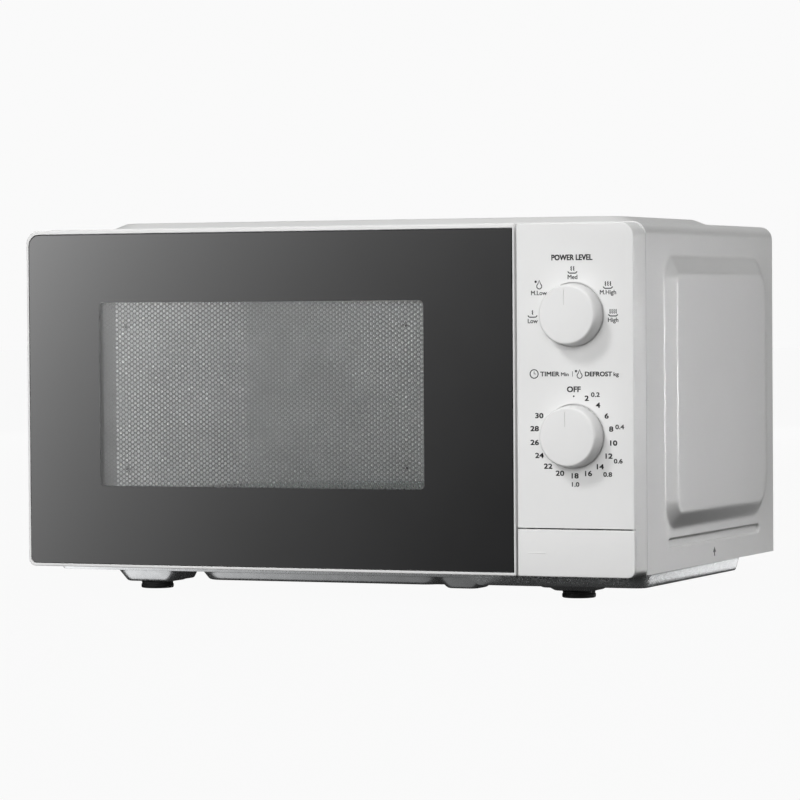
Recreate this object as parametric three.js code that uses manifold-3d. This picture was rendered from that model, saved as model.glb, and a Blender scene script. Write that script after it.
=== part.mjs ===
// Countertop microwave oven with two dials, a push-to-open pad and a side-hinged glass door.
// Millimetres, +Z up. The origin is the bottom centre of the bounding box. Inside the `oven`
// group Y is counted from the front face of the door and panel, which keeps depths readable.

import * as THREE from "three";
import { mergeVertices } from "three/addons/utils/BufferGeometryUtils.js";
import Module from "manifold-3d";

const wasm = await Module();
wasm.setup();

// ---------------------------------------------------------------- driving dimensions
const gap = 0.3; // clearance between neighbouring pieces
const sheet = 1; // sheet steel

// cabinet wrap
const halfWidth = 225; // over the flat sides
const wrapFront = 24.6;
const wrapRear = 297.3;
const wrapBottom = 19.2;
const wrapTop = 253.6;
const wrapCorner = 9;
const sideEmboss = 5.8; // how far the side panels stand proud
const topEmboss = 4.8;

// front face
const frontY = -142.5; // where the front face lies in the part's own frame
const frontDepth = 24.3; // door and panel thickness
const faceBottom = 18.6;
const faceTop = 252.6;
const doorRight = 141.2;
const panelLeft = 142.6;
const padTop = 50;
const padTravelRoom = 11; // depth kept free behind the pad

// door
const hingeX = -217;
const hingeY = 12;
const doorBack = 23.3;
const glass = { left: -222.9, right: 139.6, bottom: 20.9, top: 249.6, thickness: 3 };
const latchX = 128.5;
const hookHeights = [70, 190]; // underside of the two latch hooks

// cavity
const cavity = { left: -189, right: 103, bottom: 39.7, top: 232, front: 25.9, back: 278 };
const spinX = (cavity.left + cavity.right) / 2;
const spinY = 151.5;

// turntable
const trayRadius = 122.5;
const rollerRadius = 8;
const rollerOrbit = 92;
const rollerAxisZ = cavity.bottom + gap + rollerRadius;
const trayBottom = rollerAxisZ + rollerRadius + gap;

// dials
const dialX = 183;
const powerZ = 192;
const timerZ = 111.7;
const dialRadius = 20.7;
const dialReach = 14; // how far a dial stands out of the panel
const shaftRadius = 3;

// feet
const footX = 159.6;
const footYs = [70, 212];
const footRadius = 11.5;
const panBottom = 11.5;
const pocketBottom = 5;

// ---------------------------------------------------------------- materials
const paint = (color, roughness = 0.5, metalness = 0) =>
  new THREE.MeshStandardMaterial({ color, roughness, metalness });

const whiteSteel = paint(0xe4e4e2, 0.42, 0.05);
const whitePlastic = paint(0xeeeeec, 0.38);
const greyPlastic = paint(0xb9babb, 0.5);
const blackPlastic = paint(0x1b1b1c, 0.45);
const blackGlass = paint(0x303134, 0.08);
const clearGlass = paint(0xdfe9e6, 0.05);
const rubber = paint(0x151515, 0.85);
const zinc = paint(0xb4b7ba, 0.4, 0.85);
const bareSteel = paint(0x9b9ea1, 0.35, 0.9);
const cavityPaint = paint(0xc9cac8, 0.45, 0.05);
const copper = paint(0xa8622f, 0.4, 0.8);
const mica = paint(0xb7a684, 0.6);
const board = paint(0x2f6a3c, 0.6);

// ---------------------------------------------------------------- solids and booleans
function solidOf(geometry) {
  const bare = geometry.clone();
  bare.deleteAttribute("normal");
  bare.deleteAttribute("uv");
  const merged = mergeVertices(bare, 1e-4);
  return new wasm.Manifold(
    new wasm.Mesh({
      numProp: 3,
      vertProperties: merged.attributes.position.array,
      triVerts: new Uint32Array(merged.index.array),
    }),
  );
}

function geometryOf(solid) {
  const mesh = solid.getMesh();
  const geometry = new THREE.BufferGeometry();
  geometry.setAttribute("position", new THREE.BufferAttribute(mesh.vertProperties, 3));
  geometry.setIndex(new THREE.BufferAttribute(mesh.triVerts, 1));
  return geometry;
}

const join = (...pieces) =>
  geometryOf(pieces.map(solidOf).reduce((whole, piece) => whole.add(piece)));

const cut = (body, ...tools) =>
  geometryOf(tools.map(solidOf).reduce((rest, tool) => rest.subtract(tool), solidOf(body)));

// ---------------------------------------------------------------- shape makers
const DOWN = -Math.PI / 2;
const UP = Math.PI / 2;

// Corner radii run bottom left, bottom right, top right, top left; one number does for all four.
function roundedRectangle(u0, u1, v0, v1, radii = 0) {
  const [a, b, c, d] = Array.isArray(radii) ? radii : [radii, radii, radii, radii];
  const shape = new THREE.Shape();
  shape.moveTo(u0 + a, v0);
  shape.lineTo(u1 - b, v0);
  if (b) shape.absarc(u1 - b, v0 + b, b, DOWN, 0);
  shape.lineTo(u1, v1 - c);
  if (c) shape.absarc(u1 - c, v1 - c, c, 0, UP);
  shape.lineTo(u0 + d, v1);
  if (d) shape.absarc(u0 + d, v1 - d, d, UP, Math.PI);
  shape.lineTo(u0, v0 + a);
  if (a) shape.absarc(u0 + a, v0 + a, a, Math.PI, Math.PI - DOWN);
  return shape;
}

function polygon(points) {
  return new THREE.Shape(points.map(([u, v]) => new THREE.Vector2(u, v)));
}

// A crown is a slope that the extrusion gains outside both of its ends. Each quarter circle gets
// twice `segments` edges.
function extruded(shape, length, { crown = null, segments = 2 } = {}) {
  return new THREE.ExtrudeGeometry(shape, {
    depth: length,
    curveSegments: segments,
    bevelEnabled: crown !== null,
    bevelThickness: crown ? crown.height : 0,
    bevelSize: crown ? crown.run : 0,
    bevelSegments: 1,
  });
}

const alongX = (shape, x0, x1, options) => {
  const turn = new THREE.Matrix4().makeBasis(
    new THREE.Vector3(0, 1, 0),
    new THREE.Vector3(0, 0, 1),
    new THREE.Vector3(1, 0, 0),
  );
  return extruded(shape, x1 - x0, options).applyMatrix4(turn).translate(x0, 0, 0);
};

const alongY = (shape, y0, y1, options) =>
  extruded(shape, y1 - y0, options).rotateX(UP).translate(0, y1, 0);

const alongZ = (shape, z0, z1, options) =>
  extruded(shape, z1 - z0, options).translate(0, 0, z0);

const block = (x0, x1, y0, y1, z0, z1) =>
  new THREE.BoxGeometry(x1 - x0, y1 - y0, z1 - z0)
    .translate((x0 + x1) / 2, (y0 + y1) / 2, (z0 + z1) / 2);

const rodX = (x0, x1, y, z, radius, sides = 20) =>
  new THREE.CylinderGeometry(radius, radius, x1 - x0, sides)
    .rotateZ(UP).translate((x0 + x1) / 2, y, z);

const rodY = (x, y0, y1, z, radius, sides = 20) =>
  new THREE.CylinderGeometry(radius, radius, y1 - y0, sides).translate(x, (y0 + y1) / 2, z);

const rodZ = (x, y, z0, z1, radius, sides = 20, topRadius = radius) =>
  new THREE.CylinderGeometry(topRadius, radius, z1 - z0, sides)
    .rotateX(UP).translate(x, y, (z0 + z1) / 2);

// A profile of [radius, height] points turned about +Z.
const turned = (profile, sides = 32) =>
  new THREE.LatheGeometry(profile.map(([r, h]) => new THREE.Vector2(r, h)), sides)
    .rotateX(UP);

// ---------------------------------------------------------------- scene graph
const oven = new THREE.Group();
oven.position.set(0, frontY, 0);

function add(name, geometry, material, parent = oven) {
  const mesh = new THREE.Mesh(geometry, material);
  mesh.name = name;
  parent.add(mesh);
  return mesh;
}

function groupAt(x, y, z) {
  const group = new THREE.Group();
  group.position.set(x, y, z);
  oven.add(group);
  return group;
}

// ---------------------------------------------------------------- cabinet
// The space inside the wrap when it is shrunk by `inset`, with its raised side and top panels.
function wrapVolume(inset, bottom, y0, y1) {
  const half = halfWidth - inset;
  const top = wrapTop - inset;
  const corner = wrapCorner - inset;
  const body = alongY(
    roundedRectangle(-half, half, bottom, top, [0, 0, corner, corner]), y0, y1);
  const sideRun = 11.5;
  const sides = alongX(
    roundedRectangle(72, 265.4, 58.4, 219, 17), -half, half,
    { crown: { height: sideEmboss, run: sideRun } });
  const roof = alongZ(
    roundedRectangle(-188, 188, 72, 243, 16), top - 30, top,
    { crown: { height: topEmboss, run: 12 } });
  return join(body, sides, roof);
}

// The shallow channel that runs low along each side.
function sideChannel(depth, grow) {
  const face = halfWidth - depth;
  const outline = () =>
    roundedRectangle(67 - grow, 263.5 + grow, 34 - grow, 41 + grow, 3.4 + grow);
  return join(
    alongX(outline(), face, halfWidth + 1),
    alongX(outline(), -halfWidth - 1, -face),
    block(-halfWidth - 1, halfWidth + 1, 150, 151, -30, -29),
    block(halfWidth, halfWidth + 1, 150, 151, -30, 36),
    block(-halfWidth - 1, -halfWidth, 150, 151, -30, 36));
}

function cabinet() {
  const outside = cut(
    wrapVolume(0, wrapBottom, wrapFront, wrapRear), sideChannel(1.4, 0));
  const inside = cut(
    wrapVolume(sheet, wrapBottom - 5, wrapFront - 5, wrapRear + 5), sideChannel(2.4, 1));
  add("cabinet", cut(outside, inside), whiteSteel);
}

function rearPanel() {
  const y0 = wrapRear - 1.3;
  const y1 = wrapRear - gap;
  const edge = halfWidth - sheet - gap;
  let panel = alongY(
    roundedRectangle(-edge, edge, wrapBottom + 2, wrapTop - sheet - gap, [0, 0, 7.6, 7.6]), y0, y1);
  const slots = [];
  for (let column = 0; column < 2; column += 1)
    for (let row = 0; row < 7; row += 1) {
      const x = 122 + column * 46;
      const z = 132 + row * 14;
      slots.push(block(x, x + 38, y0 - 1, y1 + 1, z, z + 5));
    }
  for (let row = 0; row < 5; row += 1) {
    const z = 150 + row * 12;
    slots.push(block(-150, -90, y0 - 1, y1 + 1, z, z + 4));
  }
  const glandHole = rodY(175, y0 - 1, y1 + 1, 62, 9, 16);
  const screwHoles = screwPlaces.map(([x, z]) => rodY(x, y0 - 1, y1 + 1, z, 2.4, 8));
  panel = cut(panel, ...slots, glandHole, ...screwHoles);
  add("rear_panel", panel, zinc);
}

const screwPlaces = [[-208, 200], [208, 200], [-208, 40], [208, 40]];

function rearScrews() {
  const profile = [[0, -6], [2, -6], [2, 0.3], [4.2, 0.3], [3.2, 2], [0, 2]];
  screwPlaces.forEach(([x, z], index) => {
    const screw = turned(profile, 10).rotateX(DOWN).translate(x, wrapRear - gap, z);
    add(`rear_screw_${index + 1}`, screw, bareSteel);
  });
}

function cordGland() {
  const bush = turned(
    [[4, -8], [8.5, -8], [8.5, 0.3], [12, 0.3], [11.4, 2], [4, 2], [4, -8]], 16)
    .rotateX(DOWN).translate(175, wrapRear - gap, 62);
  add("cord_gland", bush, blackPlastic);
}

// ---------------------------------------------------------------- base and feet
function basePlate() {
  const flangeTop = 20.9;
  const flangeBottom = 19.9;
  const edge = halfWidth - sheet - gap;
  const flange = block(-edge, edge, 27, wrapRear - 2, flangeBottom, flangeTop);
  const slope = { crown: { height: 3, run: 3 }, segments: 1 };
  const pan = alongZ(
    roundedRectangle(-218, 218, 36, 230, 10), panBottom + 3, flangeTop, slope);
  const hollow = alongZ(
    roundedRectangle(-217, 217, 37, 229, 9), panBottom + 4, flangeTop + 4, slope);
  const above = block(-250, 250, 0, 290, flangeTop, flangeTop + 5);
  const pocket = (x, y, grow) => rodZ(
    x, y, pocketBottom + sheet * grow, panBottom + 1 + sheet * grow,
    15 - grow, 12, 25 - grow);
  const pockets = footYs.flatMap((y) => [[-footX, y], [footX, y]]);
  pockets.push([84, 64]);
  const outside = join(flange, pan, ...pockets.map(([x, y]) => pocket(x, y, 0)));
  const stems = pockets.slice(0, 4).map(([x, y]) => rodZ(x, y, 0, 20, 4, 10));
  const vents = [];
  for (let row = 0; row < 4; row += 1)
    vents.push(block(120, 160, 110 + row * 12, 115 + row * 12, 0, 30));
  const inside = pockets.map(([x, y]) => pocket(x, y, 1));
  add("base_plate", cut(outside, above, hollow, ...inside, ...stems, ...vents), zinc);
}

function feet() {
  const names = ["front_left", "front_right", "rear_left", "rear_right"];
  const profile = [
    [0, 0], [footRadius - 0.8, 0], [footRadius, 1], [footRadius, 4.7], [3.5, 4.7], [3.5, 9], [0, 9],
  ];
  names.forEach((name, index) => {
    const x = index % 2 ? footX : -footX;
    const place = groupAt(x, footYs[Math.floor(index / 2)], 0);
    add(`foot_${name}`, turned(profile, 18), rubber, place);
  });
}

// ---------------------------------------------------------------- front plate and cavity
function frontPlate() {
  const y0 = wrapFront;
  const y1 = wrapFront + sheet;
  const edge = halfWidth - sheet - gap;
  const plate = alongY(
    roundedRectangle(-edge, edge, 21.2, wrapTop - sheet - gap, [0, 0, 7.6, 7.6]), y0, y1);
  const mouth = alongY(
    roundedRectangle(cavity.left, cavity.right, cavity.bottom + 1, cavity.top, 6),
    y0 - 1, y1 + 1);
  const bay = block(147, 215, y0 - 1, y1 + 1, 28, 225);
  const hookSlots = hookHeights.map((z) => hookSlot(z, y0 - 1, y1 + 1));
  const tongueSlots = [block(-222.2, -211.2, y0 - 1, y1 + 1, 244.6, 247.4),
    block(-222.2, -211.2, y0 - 1, y1 + 1, 23.6, 26.4)];
  add("front_plate", cut(plate, mouth, bay, ...hookSlots, ...tongueSlots), whiteSteel);
}

const hookSlot = (z, y0, y1) => block(latchX - 4.5, latchX + 4.5, y0, y1, z - 6.5, z + 14.5);

function cavityWalls() {
  const { left, right, bottom, top, front, back } = cavity;
  const innerLeft = left + gap;
  const innerRight = right - gap;
  add("cavity_left", block(left - sheet, left, front, back + sheet, bottom - sheet, top + sheet),
    cavityPaint);
  const port = block(right - 1, right + 2, 118, 182, 142, 198);
  const lampHoles = [0, 1, 2].map((row) =>
    block(right - 1, right + 2, 74, 94, 213 + row * 6, 216 + row * 6));
  const airHoles = [0, 1, 2, 3].map((row) =>
    block(right - 1, right + 2, 210, 245, 150 + row * 8, 153 + row * 8));
  const rightWall = block(
    right, right + sheet, front, back + sheet, bottom - sheet, top + sheet);
  add("cavity_right", cut(rightWall, port, ...lampHoles, ...airHoles), cavityPaint);
  add("cavity_ceiling", block(innerLeft, innerRight, front, back + sheet, top + gap,
    top + gap + sheet), cavityPaint);
  add("cavity_floor", cut(
    block(innerLeft, innerRight, front, back + sheet, bottom - sheet, bottom),
    rodZ(spinX, spinY, bottom - 5, bottom + 5, 9, 16)), cavityPaint);
  add("cavity_back", block(innerLeft, innerRight, back, back + sheet, bottom + gap, top),
    cavityPaint);
  add("waveguide_cover", alongX(roundedRectangle(108, 192, 132, 208, 4),
    right - 1, right - 0.4, { segments: 1 }), mica);
}

// ---------------------------------------------------------------- control panel
function controlPanel() {
  const wall = 2.5;
  const corners = [0.6, 5, 9.5, 0.6];
  const shell = alongY(
    roundedRectangle(panelLeft, halfWidth, faceBottom, faceTop, corners), 0, frontDepth);
  const hollow = alongY(
    roundedRectangle(panelLeft + wall, halfWidth - wall, faceBottom + wall, faceTop - wall,
      [0.3, 3, 7, 0.3]), wall, frontDepth + 1);
  const padRoom = block(panelLeft - 1, halfWidth - 2.8, -1, padTravelRoom, faceBottom - 1,
    padTop + 0.9);
  const padEdge = block(halfWidth - 3, halfWidth + 1, -1, 2.6, faceBottom - 1, padTop + 0.9);
  const shaftHoles = [powerZ, timerZ].map((z) => rodY(dialX, -1, wall + 1, z, 6, 16));
  const recesses = [powerZ, timerZ].map((z) => rodY(dialX, -1, 0.5, z, dialRadius + 1, 32));
  add("control_panel", cut(shell, hollow, padRoom, padEdge, ...shaftHoles, ...recesses),
    whitePlastic);
}

function doorPad() {
  const skin = alongY(
    roundedRectangle(panelLeft, halfWidth, faceBottom, padTop, [0.6, 5, 0.6, 0.6]), 0, 2.2);
  const skirt = block(panelLeft, halfWidth - 3.4, 1, 6, faceBottom + 0.4, padTop);
  const core = block(panelLeft + 2, halfWidth - 5.4, 2.2, 7, faceBottom + 2.4, padTop - 2);
  const rib = block(panelLeft + 4.9, panelLeft + 8, 1, 16, 33, 37);
  const dash = block(149.7, 162.6, -0.3, 1, 34, 34.6);
  add("door_pad", join(cut(join(skin, skirt), core), rib, dash), whitePlastic);
}

function dial(name, z) {
  const place = groupAt(dialX, 0, z);
  const rim = 0.1;
  const profile = [
    [0, 10], [shaftRadius + gap, 10], [shaftRadius + gap, rim], [dialRadius, rim],
    [dialRadius, 1.6], [19.8, 12], [19.2, 13.4], [17.7, dialReach],
    [0, dialReach],
  ];
  const body = turned(profile, 32).rotateX(UP);
  const mark = block(-0.4, 0.4, -dialReach - 1, -dialReach + 0.4, 6, 17);
  add(`${name}_dial`, cut(body, mark), whitePlastic, place);
  const shaft = rodY(0, -9.6, 24, 0, shaftRadius, 12);
  add(`${name}_shaft`, shaft, zinc, place);
}

function dialMechanisms() {
  const bore = (z) => rodY(dialX, 0, 25, z, shaftRadius + gap, 12);
  const timerBody = join(
    block(dialX - 26, dialX + 26, 26, 62, timerZ - 24, timerZ + 24),
    rodY(dialX, 4, 30, timerZ, 5, 12),
    rodY(dialX, 30, 68, timerZ + 6, 16, 16),
    block(dialX - 20, dialX - 14, 60, 70, timerZ - 20, timerZ - 8));
  add("timer_unit", cut(timerBody, bore(timerZ)), zinc);
  const selectorBody = join(
    block(dialX - 17, dialX + 17, 26, 46, powerZ - 15, powerZ + 15),
    rodY(dialX, 4, 30, powerZ, 5, 12),
    block(dialX - 12, dialX - 8, 44, 54, powerZ - 10, powerZ - 4),
    block(dialX + 8, dialX + 12, 44, 54, powerZ - 10, powerZ - 4));
  add("power_selector", cut(selectorBody, bore(powerZ)), greyPlastic);
}

// ---------------------------------------------------------------- door
function doorFrame() {
  const rearEdge = 4.5; // the hinge edge is cut back so that it clears the front plate
  const shell = alongY(
    roundedRectangle(-halfWidth, doorRight, faceBottom, faceTop, [5, 0.6, 0.6, 9]),
    0, doorBack);
  const relief = alongZ(polygon([
    [-halfWidth - 1, doorBack - rearEdge - 1], [-halfWidth + rearEdge + 1, doorBack + 1],
    [-halfWidth - 1, doorBack + 1]]), 0, 260);
  const glassSeat = alongY(
    roundedRectangle(glass.left - gap, glass.right + gap, glass.bottom - gap, glass.top + gap,
      [4, 0.5, 0.5, 8]), -1, glass.thickness + gap);
  const window = alongY(roundedRectangle(-190, 106, 50, 222, 6), -1, doorBack + 1);
  const screenSeat = block(-206, 122, 11.7, doorBack + 1, 37, 235);
  const coverSeat = block(-206, 139, 21, doorBack + 1, 31.5, 240.5);
  const latchRoom = block(latchX - 5, latchX + 8.5, 8, 22, 62, 220.6);
  const tongueRooms = [[244.4, 247.6], [23.4, 26.6]].map(([z0, z1]) =>
    block(-halfWidth - 1, hingeX + 8, 5.2, doorBack + 1, z0, z1));
  const pinBores = [[230, 246], [25, 40]].map(([z0, z1]) =>
    rodZ(hingeX, hingeY, z0, z1, 2.8, 12));
  add("door_frame", cut(shell, relief, glassSeat, window, screenSeat, coverSeat, latchRoom,
    ...tongueRooms, ...pinBores), whitePlastic);
}

function doorPanes() {
  add("door_glass", alongY(
    roundedRectangle(glass.left, glass.right, glass.bottom, glass.top, [4, 0.5, 0.5, 8]),
    0, glass.thickness), blackGlass);
  const tray = block(-205.5, 121.5, 12, 20.8, 37.5, 234.5);
  const hollow = block(-204.5, 120.5, 13, 22, 38.5, 233.5);
  add("door_screen", cut(tray, hollow), zinc);
  const cover = alongY(
    roundedRectangle(-205.5, 138.6, 32, 240, 3), 21.3, doorBack, { segments: 1 });
  const opening = alongY(roundedRectangle(-166.2, 68.2, 70, 210, 5), 20, doorBack + 1,
    { segments: 1 });
  const hookSlots = hookHeights.map((z) => hookSlot(z, 20, doorBack + 1));
  add("choke_cover", cut(cover, opening, ...hookSlots), greyPlastic);
  add("door_film", alongY(roundedRectangle(-181, 95, 59, 217, 4), 20.2, 20.9,
    { segments: 1 }), clearGlass);
}

function doorLatch() {
  const bar = block(latchX - 3, latchX + 3.5, 12, 19, 66, 205.6);
  const hook = (z) => alongX(polygon([
    [17, z], [40, z], [40.6, z - 4], [43, z - 4], [46.5, z + 3], [44, z + 8], [17, z + 8],
  ]), latchX - 2.2, latchX + 2.2);
  add("door_latch", join(bar, ...hookHeights.map(hook)), blackPlastic);
  add("latch_spring", coil(latchX, 15.5, 206, 220.2, 3.2, 0.55, 4), bareSteel);
}

// An open coil spring on a vertical axis, as a tube along a helix.
function coil(x, y, z0, z1, radius, wire, turns) {
  class Helix extends THREE.Curve {
    getPoint(t, target = new THREE.Vector3()) {
      const angle = t * turns * 2 * Math.PI;
      const height = z0 + wire * 1.2 + t * (z1 - z0 - wire * 2.4);
      return target.set(x + radius * Math.cos(angle), y + radius * Math.sin(angle), height);
    }
  }
  const section = new THREE.Shape().absarc(0, 0, wire, 0, 2 * Math.PI);
  return new THREE.ExtrudeGeometry(section, {
    steps: turns * 8, curveSegments: 2, extrudePath: new Helix(),
  });
}

function hinge(name, tongueZ, pinZ) {
  const leafZ = tongueZ > 100 ? [tongueZ - 22, tongueZ + 2] : [tongueZ, tongueZ + 24];
  const leaf = block(-222, -196, wrapFront + sheet + gap, wrapFront + sheet + gap + 1.6, ...leafZ);
  const tongue = alongZ(
    roundedRectangle(hingeX - 4.5, hingeX + 4.5, hingeY - 4.5, 27.2, [4.4, 4.4, 0, 0]),
    tongueZ, tongueZ + 2);
  const pin = rodZ(hingeX, hingeY, ...pinZ, 2.5, 12);
  add(name, join(leaf, tongue, pin), bareSteel);
}

// ---------------------------------------------------------------- latch bracket and switches
function latchBracket() {
  const web = block(117, 119.5, 26.2, 70, 50, 214);
  const flange = block(117, 124, 26.2, 28.2, 90, 180);
  const shelves = [block(117, 138, 48, 60, 58, 60), block(117, 138, 48, 60, 206, 208)];
  const catches = hookHeights.map((z) => block(117, 134, 50, 62, z - 4, z + 2));
  const leverPin = rodX(118, 150.6, 31, 56, 2, 10);
  add("latch_bracket", join(web, flange, ...shelves, ...catches, leverPin), greyPlastic);
}

function releaseLever() {
  const hub = rodX(120, 150.2, 31, 56, 4.6, 14);
  const underHook = hookHeights[0] - 4.4;
  const lifter = alongX(
    polygon([[31, 56], [36, 56], [47, underHook - 2.6], [47, underHook], [31, underHook]]),
    124, 134);
  const arm = block(147.5, 150.2, 17, 33, 31, 58);
  const notch = block(146, 152, 22, 40, 28, 50);
  const bore = rodX(118, 152, 31, 56, 2.3, 10);
  add("release_lever", cut(join(hub, lifter, cut(arm, notch)), bore), whitePlastic);
}

function interlockSwitches() {
  const names = { primary: 182, monitor: 125, secondary: 66 };
  for (const [name, z] of Object.entries(names)) {
    const body = block(106.2, 116.6, 36, 52, z, z + 27.8);
    const plunger = block(109.5, 112.5, 33.5, 37, z + 8, z + 12);
    const tabs = [4, 14, 24].map((up) => block(110, 113, 51, 58, z + up - 2, z + up));
    add(`interlock_${name}`, join(body, plunger, ...tabs), blackPlastic);
  }
}

// ---------------------------------------------------------------- microwave source
function waveguide() {
  const x0 = cavity.right + sheet + gap;
  const x1 = x0 + 24;
  const duct = block(x0, x1, 100, 205, 130, 212);
  const hollow = block(x0 - 1, x1 - sheet, 101, 204, 131, 211);
  const port = rodX(x1 - 5, x1 + 5, 152, 170, 10.5, 12);
  add("waveguide", cut(duct, hollow, port), zinc);
}

function magnetron() {
  const x0 = cavity.right + sheet + gap + 24 + gap;
  const yoke = block(x0, x0 + 58, 110, 194, 138, 202);
  const core = block(x0 + 3, x0 + 55, 109, 195, 141, 199);
  const fins = [];
  for (let level = 0; level < 5; level += 1)
    fins.push(block(x0 + 9 + level * 10, x0 + 10.2 + level * 10, 113, 191, 140, 200));
  const anode = rodX(x0 + 1, x0 + 57, 152, 170, 20, 12);
  const antenna = rodX(x0 - 18, x0 + 4, 152, 170, 9, 12);
  const filterBox = block(x0 + 57, x0 + 84, 128, 176, 148, 192);
  add("magnetron", join(cut(yoke, core), ...fins, anode, antenna, filterBox), bareSteel);
}

function powerSupply() {
  const floor = 21.2;
  const coreIron = block(128, 206, 152, 222, floor, 92);
  const lobes = [block(134, 200, 136, 240, 30, 56), block(134, 200, 138, 238, 62, 84)];
  add("transformer", join(coreIron, ...lobes), copper);
  const can = alongZ(roundedRectangle(150, 200, 76, 108, 15.9), floor, 104, { segments: 3 });
  const tabs = [162, 186].map((x) => block(x, x + 3, 90, 96, 100, 112));
  add("capacitor", join(can, ...tabs), zinc);
  const diode = join(block(158, 178, 112, 118, 60, 68), rodZ(168, 115, 44, 64, 1, 6));
  add("hv_diode", diode, blackPlastic);
}

function coolingFan() {
  const fanX = 163;
  const fanZ = 178;
  const plate = alongY(roundedRectangle(108, 218, 120, 236, 6), 256, 284, { segments: 1 });
  const duct = rodY(fanX, 250, 290, fanZ, 50, 28);
  const strut = block(109, 217, 256, 259, fanZ - 5, fanZ + 5);
  const seat = rodY(fanX, 256, 259, fanZ, 17, 16);
  const bearing = rodY(fanX, 250, 262, fanZ, 4, 10);
  add("fan_housing", cut(join(cut(plate, duct), strut, seat), bearing), greyPlastic);
  const stack = join(
    block(fanX - 30, fanX + 30, 232, 250, fanZ - 20, fanZ + 24),
    rodY(fanX, 226, 255.6, fanZ, 14, 14));
  const shaftBore = rodY(fanX, 222, 258, fanZ, 1.9, 8);
  add("fan_motor", cut(stack, shaftBore), bareSteel);
  const blades = [];
  for (let index = 0; index < 5; index += 1) {
    const blade = block(-15, 15, -0.8, 0.8, 8, 44);
    blade.rotateZ(0.5).rotateY((index * 2 * Math.PI) / 5);
    blades.push(blade.translate(fanX, 271, fanZ));
  }
  const hub = rodY(fanX, 262.5, 279, fanZ, 11, 16);
  const spindle = rodY(fanX, 224, 264, fanZ, 1.5, 8);
  add("fan_blade", join(hub, spindle, ...blades), whitePlastic);
}

function smallElectrics() {
  const bulb = turned([[0, 0], [5.5, 1.5], [8, 6], [8, 12], [5, 18], [5, 26], [0, 26]], 12)
    .rotateY(UP).translate(106, 84, 222.5);
  const holder = block(130, 140, 74, 94, 212.5, 232.5);
  add("oven_lamp", join(bulb, holder), clearGlass);
  const circuit = join(
    block(150, 212, 70, 130, 236, 237.6),
    rodZ(168, 88, 225, 237, 9, 12),
    block(184, 204, 80, 96, 226, 237),
    block(158, 176, 108, 120, 228, 237));
  add("noise_filter", circuit, board);
  const cutout = join(rodZ(160, 152, 202.4, 208, 8, 12), block(154, 166, 150, 154, 206, 213));
  add("thermal_cutout", cutout, blackPlastic);
}

// ---------------------------------------------------------------- turntable
function turntable() {
  const place = groupAt(spinX, spinY, 0);
  const motor = cut(
    join(rodZ(0, 0, 21, cavity.bottom - sheet - gap, 25, 20), block(-33, 33, -6, 6, 35, 37)),
    rodZ(0, 0, 25, 50, 4.3, 12));
  add("turntable_motor", motor, zinc, place);

  const hub = join(
    turned([[0, 26], [4, 26], [4, 42], [11, 42.5], [12, 44], [12, trayBottom - 1.4],
      [9, trayBottom - gap], [0, trayBottom - gap]], 16),
    ...[0, 1, 2].map((index) =>
      block(0, 26, -3.5, 3.5, trayBottom - 6, trayBottom - 1.6)
        .rotateZ((index * 2 * Math.PI) / 3 + 0.5)));
  add("coupler", hub, whitePlastic, place);

  const tray = turned([
    [0, trayBottom], [105, trayBottom], [112, trayBottom + 2], [trayRadius - 0.6, trayBottom + 9.4],
    [trayRadius, trayBottom + 10.8], [trayRadius - 2, trayBottom + 12],
    [104, trayBottom + 5], [0, trayBottom + 5]], 40);
  add("glass_tray", tray, clearGlass, place);

  rollerRing(place);
}

function rollerRing(place) {
  const inner = rollerOrbit - 12;
  const outer = rollerOrbit - 5;
  const band = turned([
    [inner, rollerAxisZ - 3], [outer, rollerAxisZ - 3], [outer, rollerAxisZ + 3],
    [inner, rollerAxisZ + 3], [inner, rollerAxisZ - 3]], 30);
  const spokes = [0, 1, 2].map((index) =>
    block(27.5, inner + 1, -3, 3, rollerAxisZ - 2, rollerAxisZ + 2)
      .rotateZ((index * 2 * Math.PI) / 3));
  const centre = turned([
    [26.6, rollerAxisZ - 2], [31, rollerAxisZ - 2], [31, rollerAxisZ + 2],
    [26.6, rollerAxisZ + 2], [26.6, rollerAxisZ - 2]], 20);
  const axles = [0, 1, 2].map((index) =>
    rodX(outer - 1, rollerOrbit + 6, 0, rollerAxisZ, 1.8, 8)
      .rotateZ((index * 2 * Math.PI) / 3));
  add("roller_ring", join(band, centre, ...spokes, ...axles), whitePlastic, place);
  for (let index = 0; index < 3; index += 1) {
    const turn = new THREE.Group();
    turn.rotation.z = (index * 2 * Math.PI) / 3;
    place.add(turn);
    const bore = 2.1;
    const half = 3.5;
    const wheel = turned([
      [bore, -half], [rollerRadius, -half], [rollerRadius, half], [bore, half],
      [bore, -half]], 16);
    wheel.rotateY(UP).translate(rollerOrbit, 0, rollerAxisZ);
    add(`roller_${index + 1}`, wheel, whitePlastic, turn);
  }
}

// ---------------------------------------------------------------- assembly
cabinet();
rearPanel();
rearScrews();
cordGland();
basePlate();
feet();
frontPlate();
cavityWalls();
controlPanel();
doorPad();
dial("power", powerZ);
dial("timer", timerZ);
dialMechanisms();
doorFrame();
doorPanes();
doorLatch();
hinge("hinge_upper", 245, [234, 246]);
hinge("hinge_lower", 24, [25, 36]);
latchBracket();
releaseLever();
interlockSwitches();
waveguide();
magnetron();
powerSupply();
coolingFan();
smallElectrics();
turntable();

const part = new THREE.Group();
part.add(oven);

export default part;
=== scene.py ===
"""Countertop microwave oven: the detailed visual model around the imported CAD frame."""

from math import atan2, cos, hypot, pi, radians, sin

import bmesh
import bpy
import numpy as np
from mathutils import Matrix, Vector


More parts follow.
